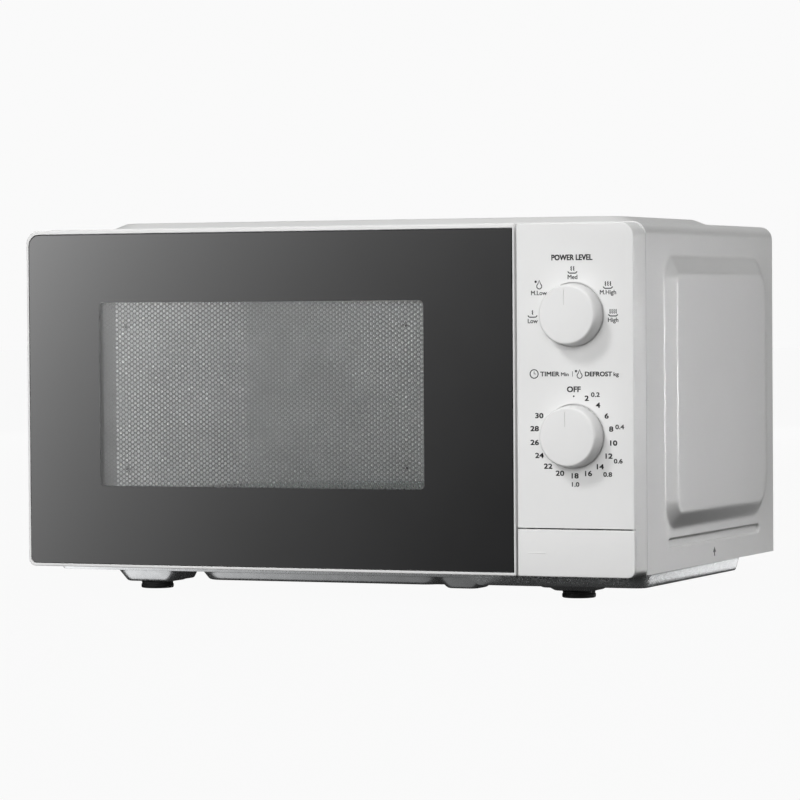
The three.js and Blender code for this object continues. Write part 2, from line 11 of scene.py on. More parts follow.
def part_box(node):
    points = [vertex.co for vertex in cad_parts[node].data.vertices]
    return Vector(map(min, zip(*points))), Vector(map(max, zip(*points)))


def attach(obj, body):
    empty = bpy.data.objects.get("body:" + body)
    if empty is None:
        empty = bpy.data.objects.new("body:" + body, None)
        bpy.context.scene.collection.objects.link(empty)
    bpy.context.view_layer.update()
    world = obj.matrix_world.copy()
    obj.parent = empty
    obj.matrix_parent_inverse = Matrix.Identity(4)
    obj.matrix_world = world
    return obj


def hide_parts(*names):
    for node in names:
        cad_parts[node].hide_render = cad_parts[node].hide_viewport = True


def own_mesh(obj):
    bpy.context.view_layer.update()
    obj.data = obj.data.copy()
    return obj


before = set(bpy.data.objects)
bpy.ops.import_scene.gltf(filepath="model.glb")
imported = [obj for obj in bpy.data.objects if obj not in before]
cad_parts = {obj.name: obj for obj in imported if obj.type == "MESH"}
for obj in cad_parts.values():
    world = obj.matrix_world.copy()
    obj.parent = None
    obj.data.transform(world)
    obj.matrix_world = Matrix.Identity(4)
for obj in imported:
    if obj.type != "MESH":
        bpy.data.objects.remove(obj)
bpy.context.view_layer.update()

# ------------ measures, in millimetres
# Depths are counted from the front face of the door, as in the CAD source. Widths and heights
# are those of the frame itself.
MM = 0.001
LEAST_RADIUS = 0.04
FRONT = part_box("door_glass")[0].y


def span(node):
    """A node's box in millimetres: x0, x1, y0, y1, z0, z1."""
    low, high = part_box(node)
    return (low.x / MM, high.x / MM, (low.y - FRONT) / MM, (high.y - FRONT) / MM,
            low.z / MM, high.z / MM)


def metres(points):
    """Millimetre points as metres in the scene."""
    return np.asarray(points, float) * MM + np.array([0.0, FRONT, 0.0])


def spot(x, y, z):
    """One millimetre point as metres in the scene."""
    return Vector((x * MM, y * MM + FRONT, z * MM))


# ------------ meshes
def linked(name, data):
    """A new object in the scene."""
    obj = bpy.data.objects.new(name, data)
    bpy.context.scene.collection.objects.link(obj)
    return obj


def new_piece(name, data, materials, face_slots=None, sharp=32, closed=True):
    """A smoothly shaded piece from (points, faces) in millimetres."""
    points, faces = data
    mesh = bpy.data.meshes.new(name)
    mesh.from_pydata([tuple(p) for p in metres(points)], [], faces)
    mesh.validate()
    if face_slots is not None:
        mesh.polygons.foreach_set("material_index", face_slots)
    if closed:
        turn_outward(mesh)
    for material in materials:
        mesh.materials.append(material)
    obj = linked(name, mesh)
    smooth(obj, sharp)
    return obj


def edit_mesh(mesh, change):
    """Runs change(bm) on a mesh."""
    bm = bmesh.new()
    bm.from_mesh(mesh)
    change(bm)
    bm.to_mesh(mesh)
    bm.free()
    mesh.update()


def turn_outward(mesh):
    """Makes every face of a closed mesh look outward."""
    edit_mesh(mesh, lambda bm: bmesh.ops.recalc_face_normals(bm, faces=bm.faces))


def smooth(obj, sharp=32):
    """Smooth shading, with edges steeper than `sharp` degrees kept sharp."""
    mesh = obj.data
    mesh.polygons.foreach_set("use_smooth", [True] * len(mesh.polygons))
    mesh.set_sharp_from_angle(angle=radians(sharp))
    mesh.update()


def belongs(obj, body, slot, *nodes):
    """Ties a piece to its body and hides the CAD nodes it stands for. The slot is not used."""
    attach(obj, body)
    if nodes:
        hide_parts(*nodes)


def outline(x0, x1, z0, z1, radii, steps=6):
    """A rounded rectangle as a loop of points, from the bottom left corner, anticlockwise."""
    corners = [(x0, z0, 1, 1, 180), (x1, z0, -1, 1, 270), (x1, z1, -1, -1, 0), (x0, z1, 1, -1, 90)]
    loop = []
    for (x, z, side, up, start), r in zip(corners, eased(radii)):
        for step in range(steps + 1):
            angle = radians(start + 90 * step / steps)
            loop.append((x + side * r + r * cos(angle), z + up * r + r * sin(angle)))
    return loop


def turn_to(axis, u, v, w):
    """Loop coordinates u, v and the position w along the axis, as x, y, z."""
    return {"x": (w, u, v), "y": (u, w, v), "z": (u, v, w)}[axis]


def belt(a, b, count):
    """Quads between two closed loops of `count` points, which start at the indices a and b."""
    return [(a + k, a + (k + 1) % count, b + (k + 1) % count, b + k) for k in range(count)]


def loft_data(stations, axis="y", ring=False, caps=True):
    """Skins loops of equal length. A station is (loop, position along the axis)."""
    count = len(stations[0][0])
    points = [turn_to(axis, u, v, w) for loop, w in stations for u, v in loop]
    faces = []
    rows = len(stations)
    for row in range(rows if ring else rows - 1):
        faces += belt(row * count, (row + 1) % rows * count, count)
    if caps and not ring:
        faces.append(tuple(range(count))[::-1])
        faces.append(tuple(range((rows - 1) * count, rows * count)))
    return points, faces


def merged(*parts):
    """Several (points, faces) pairs as one."""
    points, faces = [], []
    for some_points, some_faces in parts:
        offset = len(points)
        points.extend(some_points)
        faces.extend(tuple(i + offset for i in face) for face in some_faces)
    return points, faces


def grown(rect, by):
    """A rectangle moved out by `by` on all four sides."""
    x0, x1, z0, z1 = rect
    return x0 - by, x1 + by, z0 - by, z1 + by


def eased(radii, by=0.0):
    """Four corner radii from four or from one, each changed by `by`, and never zero."""
    if not isinstance(radii, (list, tuple)):
        radii = [radii] * 4
    return [max(r + by, LEAST_RADIUS) for r in radii]


def ring_at(place, rect, radii, by=0.0, steps=6):
    """A station for loft_data(): a rounded rectangle grown by `by`, and its place on the axis."""
    return outline(*grown(rect, by), eased(radii, by), steps), place


def fillet_steps(radius, steps):
    """(inset, drop) pairs of a quarter round, from the face to the side."""
    pairs = []
    for step in range(steps + 1):
        angle = pi / 2 * step / steps
        pairs.append((radius * (1 - sin(angle)), radius * (1 - cos(angle))))
    return pairs


def slab_data(rect, radii, w0, w1, fillet=0.4, steps=2, axis="y", corner_steps=6):
    """A closed slab with rounded edges at both of its faces."""
    pairs = fillet_steps(fillet, steps)
    stations = [ring_at(w0 + drop, rect, radii, -inset, corner_steps) for inset, drop in pairs]
    stations += [ring_at(w1 - drop, rect, radii, -inset, corner_steps)
                 for inset, drop in reversed(pairs)]
    return loft_data(stations, axis)


def slot_data(rect, radii, w0, w1, axis="y"):
    """A cutter with nearly sharp ends."""
    return slab_data(rect, radii, w0, w1, 0.05, 1, axis)


def lathe_data(profile, centre, axis="z", sides=64):
    """A profile of (radius, height) turned about an axis through centre."""
    points, faces, rows = [], [], []
    for radius, height in profile:
        if radius < 1e-6:
            rows.append([len(points)] * sides)
            points.append(turn_about(axis, centre, 0, 0, height))
            continue
        rows.append(list(range(len(points), len(points) + sides)))
        for k in range(sides):
            a = 2 * pi * k / sides
            points.append(turn_about(axis, centre, radius * cos(a), radius * sin(a), height))
    if profile[0] == profile[-1]:
        rows[-1] = rows[0]
    for a, b in zip(rows, rows[1:]):
        for k in range(sides):
            n = (k + 1) % sides
            face = list(dict.fromkeys((a[k], a[n], b[n], b[k])))
            if len(face) > 2:
                faces.append(tuple(face))
    return points, faces


def turn_about(axis, centre, u, v, w):
    """turn_to(), moved to the centre."""
    return tuple(c + d for c, d in zip(centre, turn_to(axis, u, v, w)))


def softened(profile, radius, steps=3):
    """A profile with each inner corner rounded."""
    out = [profile[0]]
    for before, at, after in zip(profile, profile[1:], profile[2:]):
        p, q, r = Vector(before), Vector(at), Vector(after)
        d0, d1 = (p - q), (r - q)
        cut = min(radius, d0.length * 0.45, d1.length * 0.45)
        if cut < 1e-4:
            out.append(at)
            continue
        a, b = q + d0.normalized() * cut, q + d1.normalized() * cut
        for step in range(steps + 1):
            t = step / steps
            out.append(tuple(a.lerp(q, t).lerp(q.lerp(b, t), t)))
    out.append(profile[-1])
    return out


def carve(obj, *cutters, sharp=32):
    """Takes the cutters' volumes out of a piece, and drops the cutters."""
    for cutter in cutters:
        tool = new_piece("cutter", cutter, [])
        change = obj.modifiers.new("carve", "BOOLEAN")
        change.operation = "DIFFERENCE"
        change.solver = "EXACT"
        change.object = tool
        apply_modifiers(obj)
        bpy.data.objects.remove(tool)
    smooth(obj, sharp)


def evaluated_mesh(obj):
    """The object's shape as a new mesh, with its modifiers and curves resolved."""
    graph = bpy.context.evaluated_depsgraph_get()
    graph.update()
    return bpy.data.meshes.new_from_object(obj.evaluated_get(graph))


def apply_modifiers(obj):
    """Replaces the object's mesh by what its modifiers make of it."""
    mesh = evaluated_mesh(obj)
    obj.modifiers.clear()
    old = obj.data
    obj.data = mesh
    bpy.data.meshes.remove(old)


def block_data(x0, x1, y0, y1, z0, z1):
    """A plain box."""
    points = [(x, y, z) for x in (x0, x1) for y in (y0, y1) for z in (z0, z1)]
    faces = [(0, 1, 3, 2), (4, 6, 7, 5), (0, 4, 5, 1), (2, 3, 7, 6), (0, 2, 6, 4), (1, 5, 7, 3)]
    return points, faces


def rod_data(axis, centre, w0, w1, radius, sides):
    """A solid cylinder from w0 to w1 along an axis through centre."""
    return lathe_data([(0, w0), (radius, w0), (radius, w1), (0, w1)], centre, axis, sides)


def positions(low, high, coarse, *fine):
    """Sorted grid positions: `coarse` apart, and closer inside each (from, to, step)."""
    values = set(np.round(np.linspace(low, high, max(2, int((high - low) / coarse) + 1)), 3))
    for a, b, step in fine:
        values = {v for v in values if not a < v < b}
        values.update(np.round(np.linspace(a, b, int(round((b - a) / step)) + 1), 3))
    inside = sorted(v for v in values if low - 0.001 <= v <= high + 0.001)
    return np.clip(np.array(inside), low, high)


def box_distance(u, v, rect, radii):
    """Signed distance to a rounded rectangle, negative inside. One radius, or one per corner
    in the order of outline()."""
    u0, u1, v0, v1 = rect
    if not isinstance(radii, tuple):
        radii = (radii,) * 4
    right, upper = u > (u0 + u1) / 2, v > (v0 + v1) / 2
    radius = np.where(upper, np.where(right, radii[2], radii[3]),
                      np.where(right, radii[1], radii[0]))
    qu = np.abs(u - (u0 + u1) / 2) - (u1 - u0) / 2 + radius
    qv = np.abs(v - (v0 + v1) / 2) - (v1 - v0) / 2 + radius
    outside = np.hypot(np.maximum(qu, 0), np.maximum(qv, 0))
    return outside + np.minimum(np.maximum(qu, qv), 0) - radius


def slope(distance, run, soft=0.08):
    """1 inside an outline, 0 beyond `run` outside it, with softly rounded ends."""
    t = 1 - distance / run
    low = (t + np.sqrt(t * t + soft * soft)) / 2
    return 1 - ((1 - low) + np.sqrt((1 - low) ** 2 + soft * soft)) / 2


def grid_faces(rows, columns, offset=0, flip=False):
    """Quads over a grid of points that starts at `offset`."""
    faces = []
    for r in range(rows - 1):
        for c in range(columns - 1):
            a = offset + r * columns + c
            face = (a, a + 1, a + columns + 1, a + columns)
            faces.append(face[::-1] if flip else face)
    return faces


def sheet_data(outer, inner):
    """Two grids of points of the same shape, closed along their edges."""
    rows, columns = outer.shape[:2]
    points = np.concatenate([outer.reshape(-1, 3), inner.reshape(-1, 3)])
    offset = rows * columns
    faces = grid_faces(rows, columns) + grid_faces(rows, columns, offset, True)
    edge = list(range(columns))
    edge += [r * columns + columns - 1 for r in range(1, rows)]
    edge += [(rows - 1) * columns + c for c in range(columns - 2, -1, -1)]
    edge += [r * columns for r in range(rows - 2, 0, -1)]
    for a, b in zip(edge, edge[1:] + edge[:1]):
        faces.append((b, a, a + offset, b + offset))
    return points, faces


# ------------ materials
# How far a noise value usually strays from its middle.
NOISE_LOW, NOISE_HIGH = 0.3, 0.7


def add_node(tree, kind, **values):
    """A shader node. Its inputs, with underscores for spaces, take plain values or sockets."""
    node = tree.nodes.new("ShaderNode" + kind)
    for name, value in values.items():
        socket = node.inputs[name.replace("_", " ")]
        if isinstance(value, bpy.types.NodeSocket):
            tree.links.new(value, socket)
        else:
            socket.default_value = value
    return node


def new_material(name):
    """An empty node material, and its tree."""
    material = bpy.data.materials.new(name)
    material.use_nodes = True
    material.node_tree.nodes.clear()
    return material, material.node_tree


def object_noise(tree, scale, detail=2.0, stretch=(1, 1, 1)):
    """Noise that is fixed to the object."""
    source = add_node(tree, "TexCoord").outputs["Object"]
    if stretch != (1, 1, 1):
        source = add_node(tree, "Mapping", Vector=source, Scale=stretch).outputs["Vector"]
    return add_node(tree, "TexNoise", Vector=source, Scale=scale, Detail=detail).outputs["Fac"]


def spread(tree, source, low, high):
    """A noise value mapped from its usual spread to low..high."""
    return add_node(tree, "MapRange", Value=source, From_Min=NOISE_LOW, From_Max=NOISE_HIGH,
                    To_Min=low, To_Max=high).outputs["Result"]


def two_tones(tree, source, dark, light):
    """A noise value mapped from its usual spread to two colours."""
    ramp = add_node(tree, "ValToRGB", Fac=source)
    first, last = ramp.color_ramp.elements
    first.position, first.color = NOISE_LOW, (*dark, 1)
    last.position, last.color = NOISE_HIGH, (*light, 1)
    return ramp.outputs["Color"]


def mixed(tree, factor, first, second):
    """A mix of two shader nodes by a socket's value."""
    mix = add_node(tree, "MixShader", Fac=factor)
    tree.links.new(first.outputs[0], mix.inputs[1])
    tree.links.new(second.outputs[0], mix.inputs[2])
    return mix


def finish(name, colour, roughness, metallic=0.0, vary=0.03, patch=18, grain=900,
           rough_vary=0.06, depth=0.00002, strength=0.3, stretch=(1, 1, 1)):
    """A solid surface: slow colour drift, fine roughness variation and a fine bump."""
    material, tree = new_material(name)
    dark = tuple(c * (1 - vary) for c in colour)
    light = tuple(min(c * (1 + vary), 0.95) for c in colour)
    slow = object_noise(tree, patch, 3.0, stretch)
    fine = object_noise(tree, grain, 2.0, stretch)
    relief = add_node(tree, "Bump", Height=fine, Strength=strength, Distance=depth)
    shader = add_node(tree, "BsdfPrincipled", Metallic=metallic, Normal=relief.outputs["Normal"],
                      Base_Color=two_tones(tree, slow, dark, light),
                      Roughness=spread(tree, fine, roughness - rough_vary, roughness + rough_vary))
    add_node(tree, "OutputMaterial", Surface=shader.outputs["BSDF"])
    return material


def see_through(name, tint, gloss_roughness, ior=1.5, vary=0.04):
    """Thin clear stock: what is behind it shows straight through, under a Fresnel gloss."""
    material, tree = new_material(name)
    dark = tuple(c * (1 - vary) for c in tint)
    colour = two_tones(tree, object_noise(tree, 30), dark, tint)
    rough = spread(tree, object_noise(tree, 400), gloss_roughness * 0.7, gloss_roughness * 1.3)
    clear = add_node(tree, "BsdfTransparent", Color=colour)
    gloss = add_node(tree, "BsdfGlossy", Roughness=rough)
    mix = mixed(tree, add_node(tree, "Fresnel", IOR=ior).outputs["Fac"], clear, gloss)
    add_node(tree, "OutputMaterial", Surface=mix.outputs["Shader"])
    return material


WHITE_PLASTIC = finish("white_plastic", (0.82, 0.82, 0.815), 0.42, vary=0.012, patch=14, grain=2600)
DIAL_PLASTIC = finish("dial_plastic", (0.83, 0.83, 0.825), 0.34, vary=0.01, patch=40, grain=3200)
WHITE_STEEL = finish("white_steel", (0.74, 0.74, 0.735), 0.34, vary=0.015, patch=10, grain=650,
                     depth=0.00005, strength=0.35)
PRINTED_GLASS = finish("printed_glass", (0.006, 0.006, 0.0065), 0.035, vary=0.2, patch=25,
                       grain=500, rough_vary=0.012, depth=0.000002, strength=0.05)
WINDOW_GLASS = see_through("window_glass", (0.78, 0.785, 0.785), 0.035)
SCREEN_STEEL = finish("screen_steel", (0.36, 0.36, 0.363), 0.5, 0.0, vary=0.1, patch=60)
PRINT_INK = finish("print_ink", (0.03, 0.03, 0.032), 0.5, vary=0.1, patch=300, grain=4000)
SEAM_DARK = finish("dark_plastic", (0.03, 0.03, 0.03), 0.5, vary=0.1, patch=90)
ZINC = finish("galvanised_zinc", (0.66, 0.67, 0.68), 0.27, 0.88, vary=0.06, patch=160, grain=1400,
              rough_vary=0.09, depth=0.00003)
RUBBER = finish("black_rubber", (0.012, 0.012, 0.012), 0.7, vary=0.2, patch=200, grain=2400,
                depth=0.00006, strength=0.5)
BARE_STEEL = finish("bare_steel", (0.5, 0.5, 0.5), 0.32, 0.95, vary=0.08, patch=120, grain=1800)
GREY_PLASTIC = finish("grey_plastic", (0.42, 0.43, 0.435), 0.45, vary=0.03, patch=60, grain=1800)
PALE_PLASTIC = finish("pale_plastic", (0.8, 0.8, 0.795), 0.45, vary=0.02, patch=60, grain=1800)
CAVITY_PAINT = finish("cavity_enamel", (0.62, 0.63, 0.62), 0.36, vary=0.04, patch=22, grain=500,
                      depth=0.00006, strength=0.4)
MICA = finish("mica", (0.48, 0.4, 0.28), 0.4, vary=0.2, patch=220, grain=1500)
COPPER = finish("varnished_copper", (0.55, 0.23, 0.09), 0.35, 0.85, vary=0.18, patch=90,
                grain=1500, stretch=(1, 1, 9))
ALUMINIUM = finish("aluminium", (0.72, 0.72, 0.73), 0.3, 0.95, vary=0.05, patch=90, grain=1200)
BOARD = finish("circuit_board", (0.04, 0.16, 0.06), 0.5, vary=0.25, patch=260, grain=1600)
CLEAR_FILM = see_through("clear_film", (0.9, 0.9, 0.9), 0.12, 1.35)
TRAY_GLASS = see_through("tray_glass", (0.8, 0.86, 0.84), 0.05)

# ------------ cabinet
EMBOSS_RECT = (72, 265.4, 58.4, 219)
EMBOSS_RUN = 11.5
CHANNEL_RECT = (67, 263.5, 34, 41)
EMBOSS_CORNERS = (9, 17, 17, 5)
ROOF_RECT = (-188, 188, 72, 243)
EMBOSS_RISE, CHANNEL_DEPTH, ROOF_RISE = 5.78, 1.7, 4.78


def side_relief(y, z):
    """How far the cabinet's side stands out of its flat, at depth y and height z."""
    panel = slope(box_distance(y, z, EMBOSS_RECT, EMBOSS_CORNERS), EMBOSS_RUN, 0.13)
    channel = slope(box_distance(y, z, CHANNEL_RECT, 3.4) + 1.0, 1.0, 0.2)
    return EMBOSS_RISE * panel - CHANNEL_DEPTH * channel


def roof_relief(x, y):
    """How far the roof stands up from its flat, at width x and depth y."""
    return ROOF_RISE * slope(box_distance(x, y, ROOF_RECT, 16), 12, 0.07)


def make_cabinet():
    """The folded sheet: both sides and the roof in one, with their raised panels."""
    _, _, y0, y1, z0, _ = span("cabinet")
    half, top, corner, sheet = 225.0, 253.6, 9.0, 1.0
    heights = positions(z0, top - corner, 6, (32, 43, 0.35), (45, 78, 0.8), (200, 232, 0.8))
    widths = positions(-half + corner, half - corner, 9, (-203, -170, 1.3), (170, 203, 1.3))
    depths = positions(y0, y1, 7, (55, 92, 0.8), (229, 280, 0.9))
    path = [(-half, z, -1, 0, "side") for z in heights]
    arc = [radians(90 * k / 10) for k in range(1, 10)]
    path += [(-half + corner - corner * cos(a), top - corner + corner * sin(a),
              -cos(a), sin(a), "arc") for a in arc]
    path += [(x, top, 0, 1, "roof") for x in widths]
    path += [(half - corner + corner * sin(a), top - corner + corner * cos(a),
              sin(a), cos(a), "arc") for a in arc]
    path += [(half, z, 1, 0, "side") for z in heights[::-1]]
    outer = np.zeros((len(path), len(depths), 3))
    inner = np.zeros_like(outer)
    for row, (x, z, nx, nz, part) in enumerate(path):
        if part == "side":
            relief = side_relief(depths, np.full_like(depths, z))
        elif part == "roof":
            relief = roof_relief(np.full_like(depths, x), depths)
        else:
            relief = np.zeros_like(depths)
        for grid, shift in ((outer, 0.0), (inner, -sheet)):
            grid[row, :, 0] = x + nx * (relief + shift)
            grid[row, :, 1] = depths
            grid[row, :, 2] = z + nz * (relief + shift)
    cabinet = new_piece("cabinet_shell", sheet_data(outer, inner), [WHITE_STEEL], sharp=50)
    belongs(cabinet, "root", "white_steel", "cabinet")
    mark_arrow()


def mark_arrow():
    """The small printed arrow low on the right side."""
    y, z, x = 163.6, 26.7, 225.0
    shape = [(0, 3.4), (3.2, -0.3), (1.0, -0.3), (1.0, -3.0), (-1.0, -3.0), (-1.0, -0.3),
             (-3.2, -0.3)]
    loop = [(y + u, z + v) for u, v in shape]
    arrow = loft_data([(loop, x - 0.3), (loop, x + 0.04)], "x")
    belongs(new_piece("side_arrow", arrow, [PRINT_INK]), "root", "black_plastic")


make_cabinet()

# ------------ door
WINDOW = (-168.1, 75.6, 75.1, 202.2)
SCREEN_HOLES = (-175.6, 72.6, 73.4, 204.2)
# Heights of the latch's two hooks.
HOOKS = (70, 190)


def make_door_frame():
    x0, x1, _, y1, z0, z1 = span("door_frame")
    rect, corners = (x0, x1, z0, z1), [5, 0.6, 0.6, 9]
    glass, glass_corners = (-223.2, 139.9, 20.6, 249.9), [4, 0.5, 0.5, 8]
    window = (-190, 106, 50, 222)
    stations = [ring_at(drop, rect, corners, -inset) for inset, drop in fillet_steps(0.9, 4)]
    stations += [ring_at(y1 - 5.5, rect, corners),
                 ring_at(y1, (x0 + 4.5, x1, z0, z1), corners, -0.3),
                 ring_at(y1, window, 6, 0.4), ring_at(y1 - 0.4, window, 6),
                 ring_at(3.7, window, 6), ring_at(3.3, window, 6, 0.4),
                 ring_at(3.3, glass, glass_corners), ring_at(0.25, glass, glass_corners),
                 ring_at(0, glass, glass_corners, 0.25)]
    door = new_piece("door_frame_moulding", loft_data(stations, ring=True), [WHITE_PLASTIC])
    carve(door,
          block_data(-206, 122, 11.7, y1 + 1, 37, 235),
          block_data(-206, 139, 21, y1 + 1, 31.5, 240.5),
          block_data(123.5, 137, 8, 22, 62, 220.6),
          block_data(x0 - 1, -209, 5.2, y1 + 1, 244.4, 247.6),
          block_data(x0 - 1, -209, 5.2, y1 + 1, 23.4, 26.6),
          rod_data("z", (-217, 12, 0), 230, 246, 2.8, 24),
          rod_data("z", (-217, 12, 0), 25, 40, 2.8, 24))
    belongs(door, "door", "white_plastic", "door_frame")


def make_door_glass():
    """One pane with dark print: the window is its two innermost faces, in a material of its own."""
    x0, x1, y0, y1, z0, z1 = span("door_glass")
    rect, corners, edge = (x0, x1, z0, z1), [4, 0.5, 0.5, 8], 0.35
    data = loft_data([
        ring_at(y1, WINDOW, 3), ring_at(y1, rect, corners, -edge),
        ring_at(y1 - edge, rect, corners), ring_at(y0 + edge, rect, corners),
        ring_at(y0, rect, corners, -edge), ring_at(y0, WINDOW, 3)])
    slots = [0] * (len(data[1]) - 2) + [1, 1]
    pane = new_piece("door_pane", data, [PRINTED_GLASS, WINDOW_GLASS], slots, sharp=20)
    belongs(pane, "door", "black_glass", "door_glass")


def hole_ring(width, height):
    """Directions round a hole that reach the middle of each cell side and each cell corner."""
    corner = atan2(height, width)
    angles = [pi / 2, 3 * pi / 2]
    for a in (0, corner / 2, corner, (corner + pi / 2) / 2):
        angles += [a, pi - a, pi + a, 2 * pi - a]
    return sorted({round(a % (2 * pi), 6) for a in angles})


def make_door_screen():
    """The perforated screen: staggered round holes through thin steel, in a folded tray."""
    x0, x1, y0, y1, z0, z1 = span("door_screen")
    pitch_x, pitch_z, hole = 2.3, 3.19, 1.06
    left, right, low, high = SCREEN_HOLES
    columns = int(round((right - left) / pitch_x))
    rows = int(round((high - low) / pitch_z))
    end = low + rows * pitch_z
    front, back = y0 + 0.1, y0 + 0.7
    half_w, half_h = pitch_x / 2, pitch_z / 2
    angles = hole_ring(half_w, half_h)
    ring = [(hole * cos(a), hole * sin(a)) for a in angles]
    rim = []
    for a in angles:
        reach = min(half_w / max(abs(cos(a)), 1e-9), half_h / max(abs(sin(a)), 1e-9))
        rim.append((reach * cos(a), reach * sin(a)))
    count = len(angles)
    points, faces = [], []
    for c in range(columns):
        cx = left + (c + 0.5) * pitch_x
        lift = half_h if c % 2 else 0.0
        for r in range(rows):
            cz = low + (r + 0.5) * pitch_z + lift
            f = len(points)
            for y in (front, back):
                points.extend((cx + u, y, cz + v) for u, v in ring)
                points.extend((cx + u, y, cz + v) for u, v in rim)
            fo, b, bo = f + count, f + 2 * count, f + 3 * count
            for k in range(count):
                n = (k + 1) % count
                faces.append((f + n, f + k, fo + k, fo + n))
                faces.append((b + k, b + n, bo + n, bo + k))
                faces.append((f + k, f + n, b + n, b + k))
        bottom = low if c % 2 else end
        gap = len(points)
        for y in (front, back):
            points.extend((cx + side * half_w, y, bottom + up * half_h)
                          for side, up in ((-1, 0), (1, 0), (1, 1), (-1, 1)))
        faces.append(tuple(gap + i for i in (0, 1, 2, 3)))
        faces.append(tuple(gap + i for i in (7, 6, 5, 4)))
    field = new_piece("screen_field", (points, faces), [SCREEN_STEEL], closed=False)
    stitch(field)
    holes, plate = (left, left + columns * pitch_x, low, end + half_h), (x0, x1, z0, z1)
    stations = [ring_at(y, rect, 0, by, 1) for y, rect, by in (
        (back, holes, 0), (front, holes, 0), (front, plate, -0.6), (front + 0.6, plate, 0),
        (y1, plate, 0), (y1, plate, -0.7), (back, plate, -0.7))]
    tray = new_piece("screen_tray", loft_data(stations, ring=True), [SCREEN_STEEL], sharp=30)
    join_into(tray, field)
    belongs(tray, "door", "zinc", "door_screen")


def stitch(obj):
    """Joins points that lie on each other."""
    edit_mesh(obj.data, lambda bm: bmesh.ops.remove_doubles(bm, verts=bm.verts, dist=1e-6))
    smooth(obj)


def join_into(target, other):
    """Adds the other's mesh to the target's, and drops it."""
    edit_mesh(target.data, lambda bm: bm.from_mesh(other.data))
    bpy.data.objects.remove(other)


def make_door_back():
    """The choke cover round the window, and the film behind it."""
    x0, x1, y0, y1, z0, z1 = span("choke_cover")
    rect, opening = (x0, x1, z0, z1), (-166.0, 68.0, 70.2, 209.8)
    edge = fillet_steps(0.7, 2)
    groove = [(-10.2, 0.0), (-10.0, 0.5), (-9.2, 0.5), (-9.0, 0.0)]
    stations = [ring_at(y0, opening, 5), ring_at(y0, rect, 3)]
    stations += [ring_at(y1 - drop, rect, 3, -inset) for inset, drop in reversed(edge)]
    stations += [ring_at(y1 - drop, rect, 3, inset) for inset, drop in reversed(groove)]
    stations += [ring_at(y1 - drop, opening, 5, inset) for inset, drop in edge]
    cover = new_piece("choke_cover_moulding", loft_data(stations, ring=True), [PALE_PLASTIC])
    carve(cover, *[block_data(124, 133, y0 - 1, y1 + 1, z - 6.5, z + 14.5) for z in HOOKS])
    belongs(cover, "door", "grey_plastic", "choke_cover")

    x0, x1, y0, y1, z0, z1 = span("door_film")
    film = new_piece("door_film_sheet", slab_data((x0, x1, z0, z1), 4, y0, y1, 0.15, 1),
                     [CLEAR_FILM])
    belongs(film, "door", "clear_glass", "door_film")
    make_film_clips(y0)


def make_film_clips(film_front):
    """Four small cross-headed clips that hold the film to the screen's tray."""
    parts = []
    for x, z in ((-156.6, 185.2), (54.8, 185.6), (-156.0, 86.1), (54.0, 88.8)):
        for across, high in ((2.6, 0.75), (0.75, 2.6)):
            parts.append(slab_data((x - across, x + across, z - high, z + high), 0.3,
                                   film_front - 1.3, film_front - 0.1, 0.2, 1))
    belongs(new_piece("film_clips", merged(*parts), [SEAM_DARK]), "door", "black_plastic")


make_door_frame()
make_door_glass()
make_door_screen()
make_door_back()

# ------------ control panel and pad
PANEL_CORNERS = [0.6, 5, 9.5, 0.6]
DIAL_X = sum(span("power_dial")[:2]) / 2
DIAL_HEIGHTS = {name: sum(span(f"{name}_dial")[4:]) / 2 for name in ("power", "timer")}


def make_panel():
    x0, x1, _, y1, z0, z1 = span("control_panel")
    rect, wall, pad_top = (x0, x1, z0, z1), 2.5, 50.9
    inner, inner_corners = grown(rect, -wall), [0.3, 3, 7, 0.3]
    stations = [ring_at(drop, rect, PANEL_CORNERS, -inset, 8)
                for inset, drop in fillet_steps(0.9, 4)]
    stations += [ring_at(y1 - 0.3, rect, PANEL_CORNERS, 0, 8),
                 ring_at(y1, rect, PANEL_CORNERS, -0.3, 8),
                 ring_at(y1, inner, inner_corners, 0, 8),
                 ring_at(wall, inner, inner_corners, 0, 8)]
    panel = new_piece("control_panel_moulding", loft_data(stations), [WHITE_PLASTIC])
    cutters = [block_data(x0 - 1, x1 - 2.8, -1, 11, z0 - 1, pad_top),
               block_data(x1 - 3, x1 + 1, -1, 2.6, z0 - 1, pad_top)]
    for z in DIAL_HEIGHTS.values():
        cutters.append(rod_data("y", (DIAL_X, 0, z), -1, wall + 1, 6, 32))
        cutters.append(rod_data("y", (DIAL_X, 0, z), -1, 1.9, 21.6, 96))
    carve(panel, *cutters, sharp=35)
    belongs(panel, "root", "white_plastic", "control_panel")


def make_pad():
    """The pad, with its walls and ribs behind, its finger and the printed dash in front."""
    skin = slab_data((142.6, 225, 18.6, 50), [0.6, 5, 0.6, 0.6], 0, 2.2, 0.8, 4, corner_steps=8)
    walls = [block_data(x0, x1, 2, 6, z0, z1) for x0, x1, z0, z1 in (
        (144.6, 219.6, 18.8 + 2, 20.4 + 2), (144.6, 219.6, 46.6, 48.2),
        (144.6, 146.2, 22.4, 46.6), (218, 219.6, 22.4, 46.6))]
    ribs = [block_data(x, x + 1.2, 2, 5.2, 22.4, 46.6) for x in (162, 182, 202)]
    finger = slab_data((147.5, 150.6, 33, 37), 0.5, 2, 16, 0.4, 2)
    dash = slab_data((149.7, 162.6, 33.95, 34.6), 0.3, -0.28, 0.6, 0.12, 2)
    pad = new_piece("door_pad_moulding", merged(skin, *walls, *ribs, finger, dash),
                    [WHITE_PLASTIC], sharp=35)
    belongs(pad, "pad", "white_plastic", "door_pad")


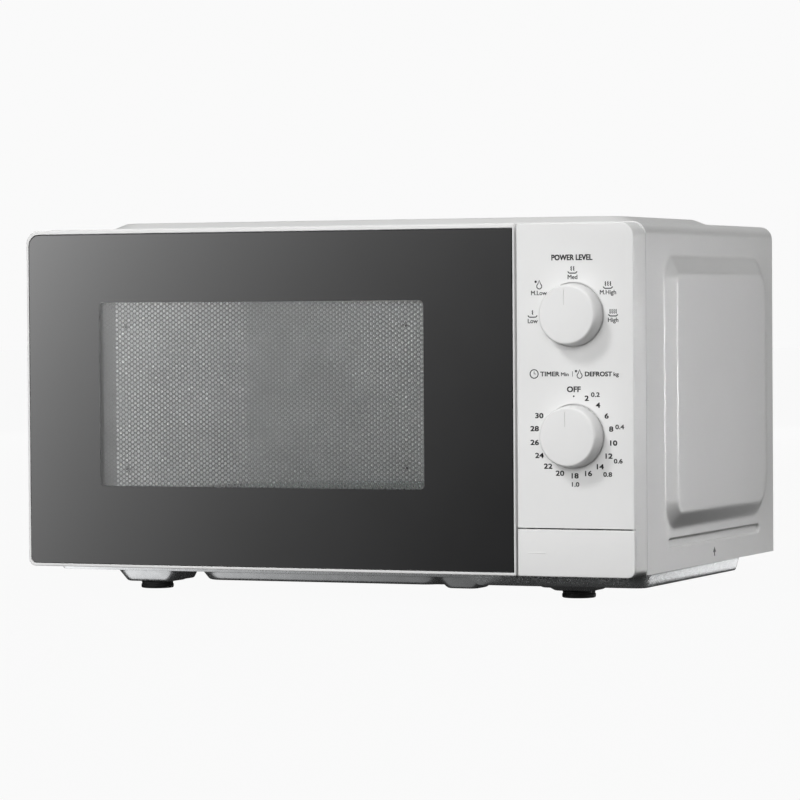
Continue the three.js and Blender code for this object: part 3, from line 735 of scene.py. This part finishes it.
def make_dials():
    face, back = span("power_dial")[2], span("power_dial")[3]
    outer = softened([(20.7, back - 0.05), (20.7, -1.7), (19.85, -12.2), (18.9, face + 0.02),
                      (0.0, face)], 1.5, 5)
    profile = [(0, -10), (3.3, -10), (3.3, back), (20.2, back)] + outer
    for name, z in DIAL_HEIGHTS.items():
        dial = new_piece(f"{name}_dial_cap", lathe_data(profile, (DIAL_X, 0, z), "y", 128),
                         [DIAL_PLASTIC])
        mark = DIAL_X - 1.3
        carve(dial, slot_data((mark - 0.35, mark + 0.35, z + 6.5, z + 16.6), 0.3,
                              face - 1, face + 0.5), sharp=28)
        belongs(dial, f"{name}_knob", "white_plastic", f"{name}_dial")


make_panel()
make_pad()
make_dials()

# ------------ print on the panel
INK_FRONT, INK_BACK = -0.05, 0.2


def letter_shapes(text):
    """A word's filled outlines at size 1, centred: points (u, v, w) and faces."""
    curve = bpy.data.curves.new("word", "FONT")
    curve.body = text
    curve.align_x, curve.align_y = "CENTER", "BOTTOM_BASELINE"
    curve.resolution_u = 3
    curve.extrude = 0.01
    obj = linked("word", curve)
    mesh = evaluated_mesh(obj)
    points = [tuple(v.co) for v in mesh.vertices]
    faces = [tuple(p.vertices) for p in mesh.polygons]
    bpy.data.objects.remove(obj)
    bpy.data.curves.remove(curve)
    bpy.data.meshes.remove(mesh)
    return points, faces


# Height of a capital at size 1.
CAP = max(point[1] for point in letter_shapes("H")[0])


def word_data(text, x, z, cap, weight, squeeze):
    """A word centred on x, its capitals' middle at height z, thickened by `weight` all round."""
    points, faces = letter_shapes(text)
    scale = cap / CAP
    copies = []
    for across, up in ((0, 0), (-1, -1), (1, -1), (1, 1), (-1, 1)):
        shift_x, shift_z = x + across * weight, z - cap / 2 + up * weight * 0.8
        copies.append(([(shift_x + u * scale * squeeze, INK_FRONT if w > 0 else INK_BACK,
                         shift_z + v * scale) for u, v, w in points], faces))
    return merged(*copies)


def stroke_data(path, width, x, z, closed=False):
    """A flat line of ink along a path of (u, v) points about (x, z)."""
    count = len(path)
    points = []
    for i, (u, v) in enumerate(path):
        before = path[i - 1] if i or closed else path[i]
        after = path[(i + 1) % count] if i + 1 < count or closed else path[i]
        du, dv = after[0] - before[0], after[1] - before[1]
        length = hypot(du, dv) or 1
        nu, nv = -dv / length * width / 2, du / length * width / 2
        for side, y in ((1, INK_FRONT), (-1, INK_FRONT), (-1, INK_BACK), (1, INK_BACK)):
            points.append((x + u + side * nu, y, z + v + side * nv))
    faces = []
    for i in range(count if closed else count - 1):
        faces += belt(4 * i, 4 * ((i + 1) % count), 4)
    if not closed:
        faces.append((3, 2, 1, 0))
        end = 4 * (count - 1)
        faces.append((end, end + 1, end + 2, end + 3))
    return points, faces


def circle(radius, steps):
    return [(radius * cos(2 * pi * k / steps), radius * sin(2 * pi * k / steps))
            for k in range(steps)]


def steam_data(x, z, plumes):
    """A dish with rising plumes of steam: more plumes mean more power."""
    dish = [(-3.3, 1.1), (-2.5, 0.2), (-1.9, 0), (1.9, 0), (2.5, 0.2), (3.3, 1.1)]
    parts = [stroke_data(dish, 0.72, x, z)]
    pitch, width = (1.75, 0.74) if plumes < 4 else (1.4, 0.6)
    for k in range(plumes):
        u = (k - (plumes - 1) / 2) * pitch
        wave = [(u + 0.25 * sin(t * 2.1), 1.6 + 0.42 * t) for t in range(8)]
        parts.append(stroke_data(wave, width, x, z))
    return merged(*parts)


def drop_data(x, z):
    """A water drop with a small flake beside it, for thawing."""
    drop = []
    for k in range(25):
        a = radians(-235 + 290 * k / 24)
        drop.append((1.75 * cos(a), -1.1 + 1.75 * sin(a)))
    drop.append((0, 2.9))
    flake = [stroke_data([(-2.5 - 0.85 * cos(a), 1.9 - 0.85 * sin(a)),
                          (-2.5 + 0.85 * cos(a), 1.9 + 0.85 * sin(a))], 0.62, x, z)
             for a in (0, pi / 3, 2 * pi / 3)]
    return merged(stroke_data(drop, 0.62, x, z, closed=True), *flake)


def clock_data(x, z):
    return merged(stroke_data(circle(2.85, 32), 0.66, x, z, closed=True),
                  stroke_data([(0, 1.7), (0, 0), (1.3, 0)], 0.46, x, z))


def make_print():
    """All words, numbers and signs on the panel, placed from the middles of the two dials."""
    x, top, low = DIAL_X, DIAL_HEIGHTS["power"], DIAL_HEIGHTS["timer"]
    parts = [word_data("POWER LEVEL", x - 1.0, top + 37.8, 3.5, 0.17, 0.89)]
    settings = [("Low", -28.9, -4.0, 1), ("M.Low", -24.4, 14.5, 0), ("Med", -0.5, 24.9, 2),
                ("M.High", 24.3, 14.7, 3), ("High", 27.8, -3.5, 4)]
    for word, u, v, plumes in settings:
        parts.append(word_data(word, x + u, top + v, 2.8, 0.07, 1.0))
        parts.append(steam_data(x + u, top + v + 2.5, plumes) if plumes else
                     drop_data(x + u + 0.4, top + v + 5.5))
    row = low + 41.2
    parts += [clock_data(x - 28, row),
              word_data("TIMER", x - 16.9, row, 2.9, 0.13, 1.16),
              word_data("Min", x - 6.3, row - 0.2, 2.4, 0.07, 1.1),
              stroke_data([(0, -1.7), (0, 1.7)], 0.34, x - 0.9, row),
              drop_data(x + 4.1, row),
              word_data("DEFROST", x + 17.2, row, 2.9, 0.15, 1.07),
              word_data("kg", x + 29.6, row - 0.1, 2.5, 0.07, 1.15),
              word_data("OFF", x - 0.1, low + 31.1, 3.5, 0.17, 1.08),
              stroke_data(circle(0.3, 10), 0.6, x - 0.1, low + 26.5, closed=True)]
    for minutes in range(2, 31, 2):
        angle = radians(minutes * 10)
        nudge = -1.2 * sin(angle) if minutes < 10 else -0.7 if minutes > 19 else 0.0
        u, v = 27.6 * sin(angle) + nudge, 26.4 * cos(angle) + 0.4
        parts.append(word_data(str(minutes), x + u, low + v, 3.2, 0.16, 1.3))
    for kilos, u, v in (("0.2", 15.1, 27.6), ("0.4", 32.0, 6.4), ("0.6", 30.8, -16.1),
                        ("0.8", 23.4, -24.9), ("1.0", 0.4, -31.7)):
        parts.append(word_data(kilos, x + u, low + v, 2.8, 0.12, 1.24))
    ink = new_piece("panel_print", merged(*parts), [PRINT_INK], closed=False)
    belongs(ink, "root", "black_plastic")


make_print()

# ------------ base and feet
BASE_SHEET = 1.0
FOOT_PLACES = [(x, y) for y in (70, 212) for x in (-159.6, 159.6)]


def base_height(x, y):
    """Height of the pressed base plate's underside."""
    flange, pocket_floor = 19.9, 5.05
    pan_drop, drop_to_right, tray_drop, step_drop = 5.9, 4.9, 7.1, 14
    rear = slope(y - 228, 9, 0.05)
    pan = slope(box_distance(x, y, (-219.4, 219.4, 34.5, 239), 9), 1.4, 0.3)
    right = slope(100 - x, 8, 0.08)
    tray = slope(box_distance(x, y, (-117, 62, 56, 196), 14), 5, 0.2)
    height = flange - np.minimum(pan, 1) * rear * (pan_drop + drop_to_right * right)
    height -= tray_drop * tray * (1 - right)
    for fx, fy in FOOT_PLACES:
        left, right_end = (18.5, 17) if fx < 0 else (14, 14)
        rect = (fx - left, fx + right_end, fy - 14, fy + 14)
        pocket = slope(box_distance(x, y, rect, 6), 7, 0.12)
        height = height * (1 - pocket) + pocket_floor * pocket
    bulge = slope(box_distance(x, y, (68, 91, 54, 78), 6), 9, 0.12)
    height = height * (1 - bulge) + pocket_floor * bulge
    for left, end in ((-162, -139), (131, 147)):
        step = slope(box_distance(x, y, (left, end, 68, 92), 6), 6, 0.12)
        height = np.minimum(height, flange - step_drop * step)
    return height


def make_base():
    x0, x1, y0, y1, _, z1 = span("base_plate")
    xs = positions(x0, x1, 5, (-223.6, -215, 0.35), (-190, -104, 1.1), (46, 112, 1.1),
                   (120, 192, 1.1), (215, 223.6, 0.35))
    ys = positions(y0, y1, 6, (30, 42, 0.35), (42, 98, 0.9), (186, 245, 1.2))
    gx, gy = np.meshgrid(xs, ys, indexing="ij")
    under = base_height(gx, gy)
    outer = np.stack([gx, gy, under], axis=-1)
    inner = np.stack([gx, gy, np.minimum(under + BASE_SHEET, z1)], axis=-1)
    base = new_piece("base_pan", sheet_data(outer, inner), [ZINC], sharp=60)
    belongs(base, "root", "zinc", "base_plate")


def make_feet():
    high = span("foot_front_left")[5]
    tread = [(0, 0.9), (4, 0.9), (4.4, 0.0), (6.2, 0.0), (6.6, 0.8), (8.2, 0.8), (8.6, 0.0),
             (10.9, 0.0), (11.5, 0.7), (11.5, 2.6), (11.0, 3.1), (11.0, 3.6), (11.3, 4.6),
             (3.5, 4.6), (3.5, high), (0, high)]
    names = ["front_left", "front_right", "rear_left", "rear_right"]
    for name, (x, y) in zip(names, FOOT_PLACES):
        foot = new_piece(f"rubber_foot_{name}",
                         lathe_data(softened(tread, 0.35, 2), (x, y, 0), "z", 48),
                         [RUBBER], sharp=40)
        belongs(foot, "root", "rubber", f"foot_{name}")


make_base()
make_feet()

# ------------ cavity and front plate
CAVITY = (-189, 103, 39.7, 232)
# How far the front plate and the rear cover reach into the cabinet's sheet, and their corners.
END_REACH = 0.28
END_CORNERS = [0.3, 0.3, 7.9, 7.9]
# The turntable's axis.
SPIN = (-43, 151.5, 0)


def make_cavity():
    """The enamelled liner with its window for the waveguide, its vents, and the mica cover."""
    front, back, sheet, radius = 25.9, 278.0, 1.0, 7.0
    rect, outer = CAVITY, grown(CAVITY, sheet)
    stations = [ring_at(front, outer, 7), ring_at(front, rect, 6), ring_at(back - radius, rect, 6)]
    for step in range(1, 6):
        angle = pi / 2 * step / 5
        inset = radius * (1 - cos(angle))
        stations.append((outline(*grown(rect, -inset), eased(6, -inset * 0.5)),
                         back - radius + radius * sin(angle)))
    points, faces = loft_data(stations, caps=False)
    count, offset = len(stations[0][0]), len(points)
    rear = loft_data([ring_at(front, outer, 7), ring_at(back + sheet, outer, 7)], caps=False)
    points, faces = merged((points, faces), rear)
    faces.append(tuple(range(offset - count, offset)))
    faces.append(tuple(range(offset + count, offset + 2 * count)))
    liner = new_piece("cavity_liner", (points, faces), [CAVITY_PAINT], sharp=40)
    stitch(liner)
    turn_outward(liner.data)
    right, floor = rect[1:3]
    cutters = [slot_data((118, 182, 142, 198), 4, right - 2, right + 3, "x"),
               rod_data("z", SPIN, floor - 4, floor + 4, 9, 40)]
    rows = [(74, 94, 213 + row * 6, 216 + row * 6) for row in range(3)]
    rows += [(210, 245, 150 + row * 8, 153 + row * 8) for row in range(4)]
    cutters += [slot_data(vent, 1.4, right - 3, right + 3, "x") for vent in rows]
    carve(liner, *cutters, sharp=40)
    belongs(liner, "root", "cavity_paint", "cavity_left", "cavity_right", "cavity_ceiling",
            "cavity_floor", "cavity_back")
    cover = slab_data((108, 192, 132, 208), 4, 102, 102.6, 0.12, 1, axis="x")
    belongs(new_piece("mica_cover", cover, [MICA]), "root", "mica", "waveguide_cover")


def make_front_plate():
    x0, x1, y0, y1, z0, z1 = span("front_plate")
    rect = (x0 - END_REACH, x1 + END_REACH, z0, z1 + END_REACH)
    mouth = (-189, 103, 40.7, 232)
    stations = [ring_at(y0, rect, END_CORNERS, -0.2), ring_at(y0 + 0.2, rect, END_CORNERS),
                ring_at(y1, rect, END_CORNERS), ring_at(y1, mouth, 6),
                ring_at(y0 + 0.5, mouth, 6), ring_at(y0, mouth, 6, 0.5)]
    plate = new_piece("front_plate_steel", loft_data(stations, ring=True), [CAVITY_PAINT])
    openings = [((147, 215, 28, 225), 0.3)]
    openings += [((124, 133, z - 6.5, z + 14.5), 1.2) for z in HOOKS]
    openings += [((-222.2, -211.2, z, z + 2.8), 0.8) for z in (244.6, 23.6)]
    carve(plate, *[slot_data(hole, radius, y0 - 1, y1 + 1) for hole, radius in openings])
    belongs(plate, "root", "white_steel", "front_plate")


make_cavity()
make_front_plate()

# ------------ turntable
TRAY_LOW = span("glass_tray")[4]


def make_turntable():
    """The glass tray, the coupler that turns it, and the roller ring under it."""
    low = TRAY_LOW
    profile = [(0, low), (100, low), (106, low + 0.4), (113, low + 2.6), (120.4, low + 8.2),
               (122.4, low + 10.6), (122.0, low + 11.9), (120.6, low + 11.8), (118.6, low + 10.0),
               (111.5, low + 5.2), (104, low + 3.7), (60, low + 3.5), (0, low + 3.5)]
    tray = new_piece("glass_turntable", lathe_data(softened(profile, 1.1, 3), SPIN, "z", 128),
                     [TRAY_GLASS], sharp=60)
    belongs(tray, "tray", "clear_glass", "glass_tray")

    hub = [(0, 26), (4, 26), (4, 42), (10.8, 42.4), (12, 43.6), (12, low - 1.5), (9, low - 0.3),
           (0, low - 0.3)]
    arm = slab_data((6, 25.8, -3.4, 3.4), 1.2, low - 5.9, low - 1.7, 0.5, 2, axis="z")
    arms = [turned_block(arm, 2 * pi * index / 3 + 0.5) for index in range(3)]
    parts = merged(lathe_data(softened(hub, 0.5, 2), SPIN, "z", 48), *arms)
    belongs(new_piece("turntable_coupler", parts, [GREY_PLASTIC]), "coupler", "white_plastic",
            "coupler")
    make_roller_ring()


def turned_block(data, angle):
    """A shape made about the Z axis, turned and set on the turntable's centre."""
    points, faces = data
    c, s = cos(angle), sin(angle)
    return [(SPIN[0] + x * c - y * s, SPIN[1] + x * s + y * c, z) for x, y, z in points], faces


def make_roller_ring():
    axis_z = 48.0
    band = softened([(83.5, axis_z - 3), (87, axis_z - 3), (87, axis_z + 3), (80, axis_z + 3),
                     (80, axis_z - 3), (83.5, axis_z - 3)], 0.8, 3)
    hub = softened([(29, axis_z - 2), (31, axis_z - 2), (31, axis_z + 2), (26.6, axis_z + 2),
                    (26.6, axis_z - 2), (29, axis_z - 2)], 0.6, 2)
    parts = [lathe_data(band, SPIN, "z", 96), lathe_data(hub, SPIN, "z", 64)]
    spoke = slab_data((30, 81, -3, 3), 0.9, axis_z - 1.9, axis_z + 1.9, 0.7, 2, axis="z")
    axle = lathe_data([(0, 86), (1.8, 86), (1.8, 97.6), (1.4, 98), (0, 98)],
                      (0, 0, axis_z), "x", 20)
    wheel = softened([(5, -3.5), (8, -3.5), (8, 3.5), (5, 3.5), (2.1, 3.5), (2.1, -3.5),
                      (5, -3.5)], 0.9, 3)
    tyre = lathe_data([(r, 92 + h) for r, h in wheel], (0, 0, axis_z), "x", 40)
    for index in range(3):
        angle = 2 * pi * index / 3
        parts += [turned_block(spoke, angle), turned_block(axle, angle)]
        roller = new_piece(f"roller_wheel_{index + 1}", turned_block(tyre, angle), [WHITE_PLASTIC])
        belongs(roller, f"roller_{index + 1}", "white_plastic", f"roller_{index + 1}")
    belongs(new_piece("roller_ring_moulding", merged(*parts), [GREY_PLASTIC]), "ring",
            "white_plastic", "roller_ring")


make_turntable()

# ------------ back of the cabinet
REAR_SCREWS = [(-208, 200), (208, 200), (-208, 40), (208, 40)]
GLAND = (175, 0, 62)


def make_rear():
    """The rear cover with its slots, its four screws and the cord's bush."""
    x0, x1, y0, y1, z0, z1 = span("rear_panel")
    rect = (x0 - END_REACH, x1 + END_REACH, z0, z1 + END_REACH)
    rear = new_piece("rear_cover", slab_data(rect, END_CORNERS, y0, y1, 0.2, 1), [ZINC])
    slots = [((x, x + 38, z, z + 5), 2.45) for x in (122, 168) for z in range(132, 217, 14)]
    slots += [((-150, -90, z, z + 4), 1.95) for z in range(150, 199, 12)]
    cutters = [slot_data(slot, radius, y0 - 1, y1 + 1) for slot, radius in slots]
    cutters.append(rod_data("y", GLAND, y0 - 1, y1 + 1, 9, 40))
    cutters += [rod_data("y", (x, 0, z), y0 - 1, y1 + 1, 2.4, 24) for x, z in REAR_SCREWS]
    carve(rear, *cutters)
    belongs(rear, "root", "zinc", "rear_panel")

    back = span("rear_screw_1")[3]
    head = [(0, y1 - 6), (2, y1 - 6), (2, y1 + 0.05), (4.2, y1 + 0.05), (4.1, y1 + 0.7),
            (2.6, back - 0.3), (0, back)]
    for index, (x, z) in enumerate(REAR_SCREWS, 1):
        screw = new_piece(f"cross_screw_{index}",
                          lathe_data(softened(head, 0.25, 2), (x, 0, z), "y", 32), [BARE_STEEL])
        carve(screw, block_data(x - 0.4, x + 0.4, back - 1, back + 1, z - 2, z + 2),
              block_data(x - 2, x + 2, back - 1, back + 1, z - 0.4, z + 0.4))
        belongs(screw, "root", "bare_steel", f"rear_screw_{index}")

    back = span("cord_gland")[3]
    bush = [(8.5, y1 - 7.6), (8.5, y1 + 0.05), (12, y1 + 0.05), (11.9, y1 + 0.9), (10.4, back),
            (5.2, back), (4, back - 1.1), (4, y1 - 7.6), (8.5, y1 - 7.6)]
    gland = new_piece("cord_bush", lathe_data(softened(bush, 0.3, 2), GLAND, "y", 48), [SEAM_DARK])
    belongs(gland, "root", "black_plastic", "cord_gland")


make_rear()

# ------------ latch spring
def make_latch_spring():
    """A coil that rides on the latch."""
    x, y, low, high = 128.5, 15.5, 206.2, 220.0
    radius, wire, turns, sides = 3.2, 0.45, 6, 10
    steps = turns * 20
    points, faces = [], []
    for step in range(steps + 1):
        t = step / steps
        angle = 2 * pi * turns * t
        height = low + wire + (high - low - 2 * wire) * t
        for k in range(sides):
            a = 2 * pi * k / sides
            r = radius + wire * cos(a)
            points.append((x + r * cos(angle), y + r * sin(angle), height + wire * sin(a)))
    for step in range(steps):
        faces += belt(step * sides, (step + 1) * sides, sides)
    faces.append(tuple(range(sides)))
    faces.append(tuple(range(steps * sides, (steps + 1) * sides))[::-1])
    spring = new_piece("latch_coil", (points, faces), [BARE_STEEL])
    belongs(spring, "latch", "bare_steel", "latch_spring")
    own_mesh(spring)


make_latch_spring()

# ------------ CAD pieces that stay as they are
KEPT = {
    SEAM_DARK: ["door_latch", "interlock_primary", "interlock_monitor", "interlock_secondary",
                "hv_diode", "thermal_cutout"],
    BARE_STEEL: ["hinge_upper", "hinge_lower", "magnetron", "fan_motor"],
    ZINC: ["waveguide", "turntable_motor", "timer_unit", "power_shaft", "timer_shaft"],
    ALUMINIUM: ["capacitor"],
    COPPER: ["transformer"],
    GREY_PLASTIC: ["latch_bracket", "fan_housing", "power_selector"],
    WHITE_PLASTIC: ["release_lever", "fan_blade"],
    BOARD: ["noise_filter"],
    TRAY_GLASS: ["oven_lamp"],
}


def finish_kept_nodes():
    """Gives the CAD's own meshes their materials and small round edges."""
    for material, names in KEPT.items():
        for name in names:
            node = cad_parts[name]
            for slot in node.material_slots:
                slot.material = material
            weld = node.modifiers.new("weld", "WELD")
            weld.merge_threshold = 0.00001
            soften = node.modifiers.new("soften", "BEVEL")
            soften.width = 0.0005
            soften.segments = 2
            soften.limit_method = "ANGLE"
            soften.angle_limit = radians(50)
            soften.use_clamp_overlap = True


finish_kept_nodes()

# ------------ stage, lights and camera
FLOOR_GLOW, FLOOR_MATT, FLOOR_SIZE = 0.945, 0.008, 14
BACKDROP, AMBIENT = 0.955, 0.025


def flat_card(name, width, height, material):
    """A rectangle about its own origin, `width` and `height` to each side."""
    mesh = bpy.data.meshes.new(name)
    w, h = width, height
    mesh.from_pydata([(-w, -h, 0), (w, -h, 0), (w, h, 0), (-w, h, 0)], [], [(0, 1, 2, 3)])
    mesh.materials.append(material)
    return linked(name, mesh)


def make_floor():
    """A floor that glows evenly and takes a faint shadow."""
    material, tree = new_material("studio_floor")
    glow = add_node(tree, "Emission", Color=(1, 1, 1, 1), Strength=FLOOR_GLOW)
    matt = add_node(tree, "BsdfDiffuse", Color=(FLOOR_MATT, FLOOR_MATT, FLOOR_MATT, 1))
    both = add_node(tree, "AddShader")
    tree.links.new(glow.outputs["Emission"], both.inputs[0])
    tree.links.new(matt.outputs["BSDF"], both.inputs[1])
    add_node(tree, "OutputMaterial", Surface=both.outputs["Shader"])
    floor = flat_card("floor", FLOOR_SIZE, FLOOR_SIZE, material)
    floor.visible_glossy = False
    floor.visible_diffuse = False


def maths(tree, operation, *values):
    """A math node fed by sockets or by plain numbers."""
    node = add_node(tree, "Math")
    node.operation = operation
    for socket, value in zip(node.inputs, values):
        if isinstance(value, (int, float)):
            socket.default_value = value
        else:
            tree.links.new(value, socket)
    return node.outputs["Value"]


def glowing_card(name, place, turn, size, coefficients):
    """A card only reflections see. Its glow is exp(a + b u + c v + d u v) over its own plane."""
    material, tree = new_material(name)
    parts = add_node(tree, "SeparateXYZ", Vector=add_node(tree, "TexCoord").outputs["Object"])
    u, v = parts.outputs["X"], parts.outputs["Y"]
    a, b, c, d = coefficients
    across = maths(tree, "MULTIPLY_ADD", u, b, a)
    rise = maths(tree, "MULTIPLY_ADD", u, d, c)
    power = maths(tree, "MULTIPLY_ADD", rise, v, across)
    glow = add_node(tree, "Emission", Strength=maths(tree, "EXPONENT", power))
    add_node(tree, "OutputMaterial", Surface=glow.outputs["Emission"])
    card = flat_card(name, *size, material)
    card.location = place
    card.rotation_euler = (turn, 0, 0)
    card.visible_camera = False
    card.visible_diffuse = False
    card.visible_shadow = False


def make_cards():
    """What the door glass, the base's slopes and the cabinet's side and its folds mirror."""
    upright = pi / 2
    glowing_card("door_reflection", (-1.445, -3.14, 0.05), upright, (0.75, 0.6),
                 (0.509, -2.396, 1.732, 0.777))
    glowing_card("base_reflection", (-0.1, -0.194, 0.0004), 0, (0.2, 0.106), (-0.42, -7.0, 0, 0))
    for name, place, size, brightness in (
            ("pan_side_reflection", (0.62, 0.8, -0.09), (0.35, 0.06), 0.35),
            ("fold_reflection", (1.05, 0.7, 0.13), (0.05, 0.2), 3.95),
            ("flank_reflection", (0.95, 0.75, 0.13), (0.5, 0.2), 0.42)):
        glowing_card(name, place, upright, size, (brightness, 0, 0, 0))


def area_light(name, place, target, width, height, power, glossy=True, diffuse=True):
    """A rectangular lamp that the camera doesn't see, aimed at a point."""
    data = bpy.data.lights.new(name, "AREA")
    data.shape = "RECTANGLE"
    data.size, data.size_y = width, height
    data.energy = power
    light = linked(name, data)
    light.location = place
    aim = Vector(target) - Vector(place)
    light.rotation_euler = aim.to_track_quat("-Z", "Y").to_euler()
    light.visible_glossy, light.visible_diffuse = glossy, diffuse
    light.visible_camera = False


def make_lights():
    middle, flank = (0, 0, 0.12), (0.2, 0, 0.12)
    area_light("key", (-0.85, -2.1, 2.15), middle, 0.6, 0.6, 32, glossy=False)
    area_light("left_high", (-3.0, -1.2, 1.2), (-0.1, 0, 0.12), 1.6, 1.2, 8.7, glossy=False)
    area_light("front", (0.4, -3.4, 0.9), middle, 3.0, 1.6, 79, glossy=False)
    area_light("right_top", (1.9, 0.3, 2.6), flank, 1.2, 1.2, 46, glossy=False)
    area_light("right_strip", (2.9, 0.7, 0.22), flank, 0.9, 0.8, 15, diffuse=False)
    area_light("back", (-1.2, 3.3, 0.7), middle, 1.6, 1.0, 45, glossy=False)
    area_light("cavity_lamp", tuple(spot(96, 90, 206)), tuple(spot(-189, 170, 110)), 0.02, 0.02,
               0.55)


def make_world():
    """An even pale backdrop for the camera, and next to no light from it."""
    world = bpy.data.worlds.new("studio")
    bpy.context.scene.world = world
    world.use_nodes = True
    tree = world.node_tree
    tree.nodes.clear()
    seen = add_node(tree, "Background", Color=(1, 1, 1, 1), Strength=BACKDROP)
    ambient = add_node(tree, "Background", Color=(1, 1, 1, 1), Strength=AMBIENT)
    camera_ray = add_node(tree, "LightPath").outputs["Is Camera Ray"]
    mix = mixed(tree, camera_ray, ambient, seen)
    add_node(tree, "OutputWorld", Surface=mix.outputs["Shader"])


CAMERA_PLACE = (1.10724, -2.60417, 0.19916)


def make_camera():
    """The camera, from its azimuth, its downward pitch and its roll."""
    azimuth, pitch, roll = (radians(a) for a in (23.079, 1.3654, -0.4033))
    forward = Vector((-sin(azimuth) * cos(pitch), cos(azimuth) * cos(pitch),
                      -sin(pitch)))
    right = Vector((cos(azimuth), sin(azimuth), 0))
    up = right.cross(forward)
    side = cos(roll) * right + sin(roll) * up
    over = -sin(roll) * right + cos(roll) * up
    data = bpy.data.cameras.new("camera")
    data.lens, data.sensor_width = 179.28, 36.0
    data.clip_start, data.clip_end = 0.05, 60
    camera = linked("camera", data)
    frame_axes = Matrix((side, over, -forward)).transposed().to_4x4()
    camera.matrix_world = Matrix.Translation(CAMERA_PLACE) @ frame_axes
    bpy.context.scene.camera = camera


make_floor()
make_cards()
make_lights()
make_world()
make_camera()
bpy.context.scene.view_settings.view_transform = "Standard"
bpy.context.scene.view_settings.look = "None"
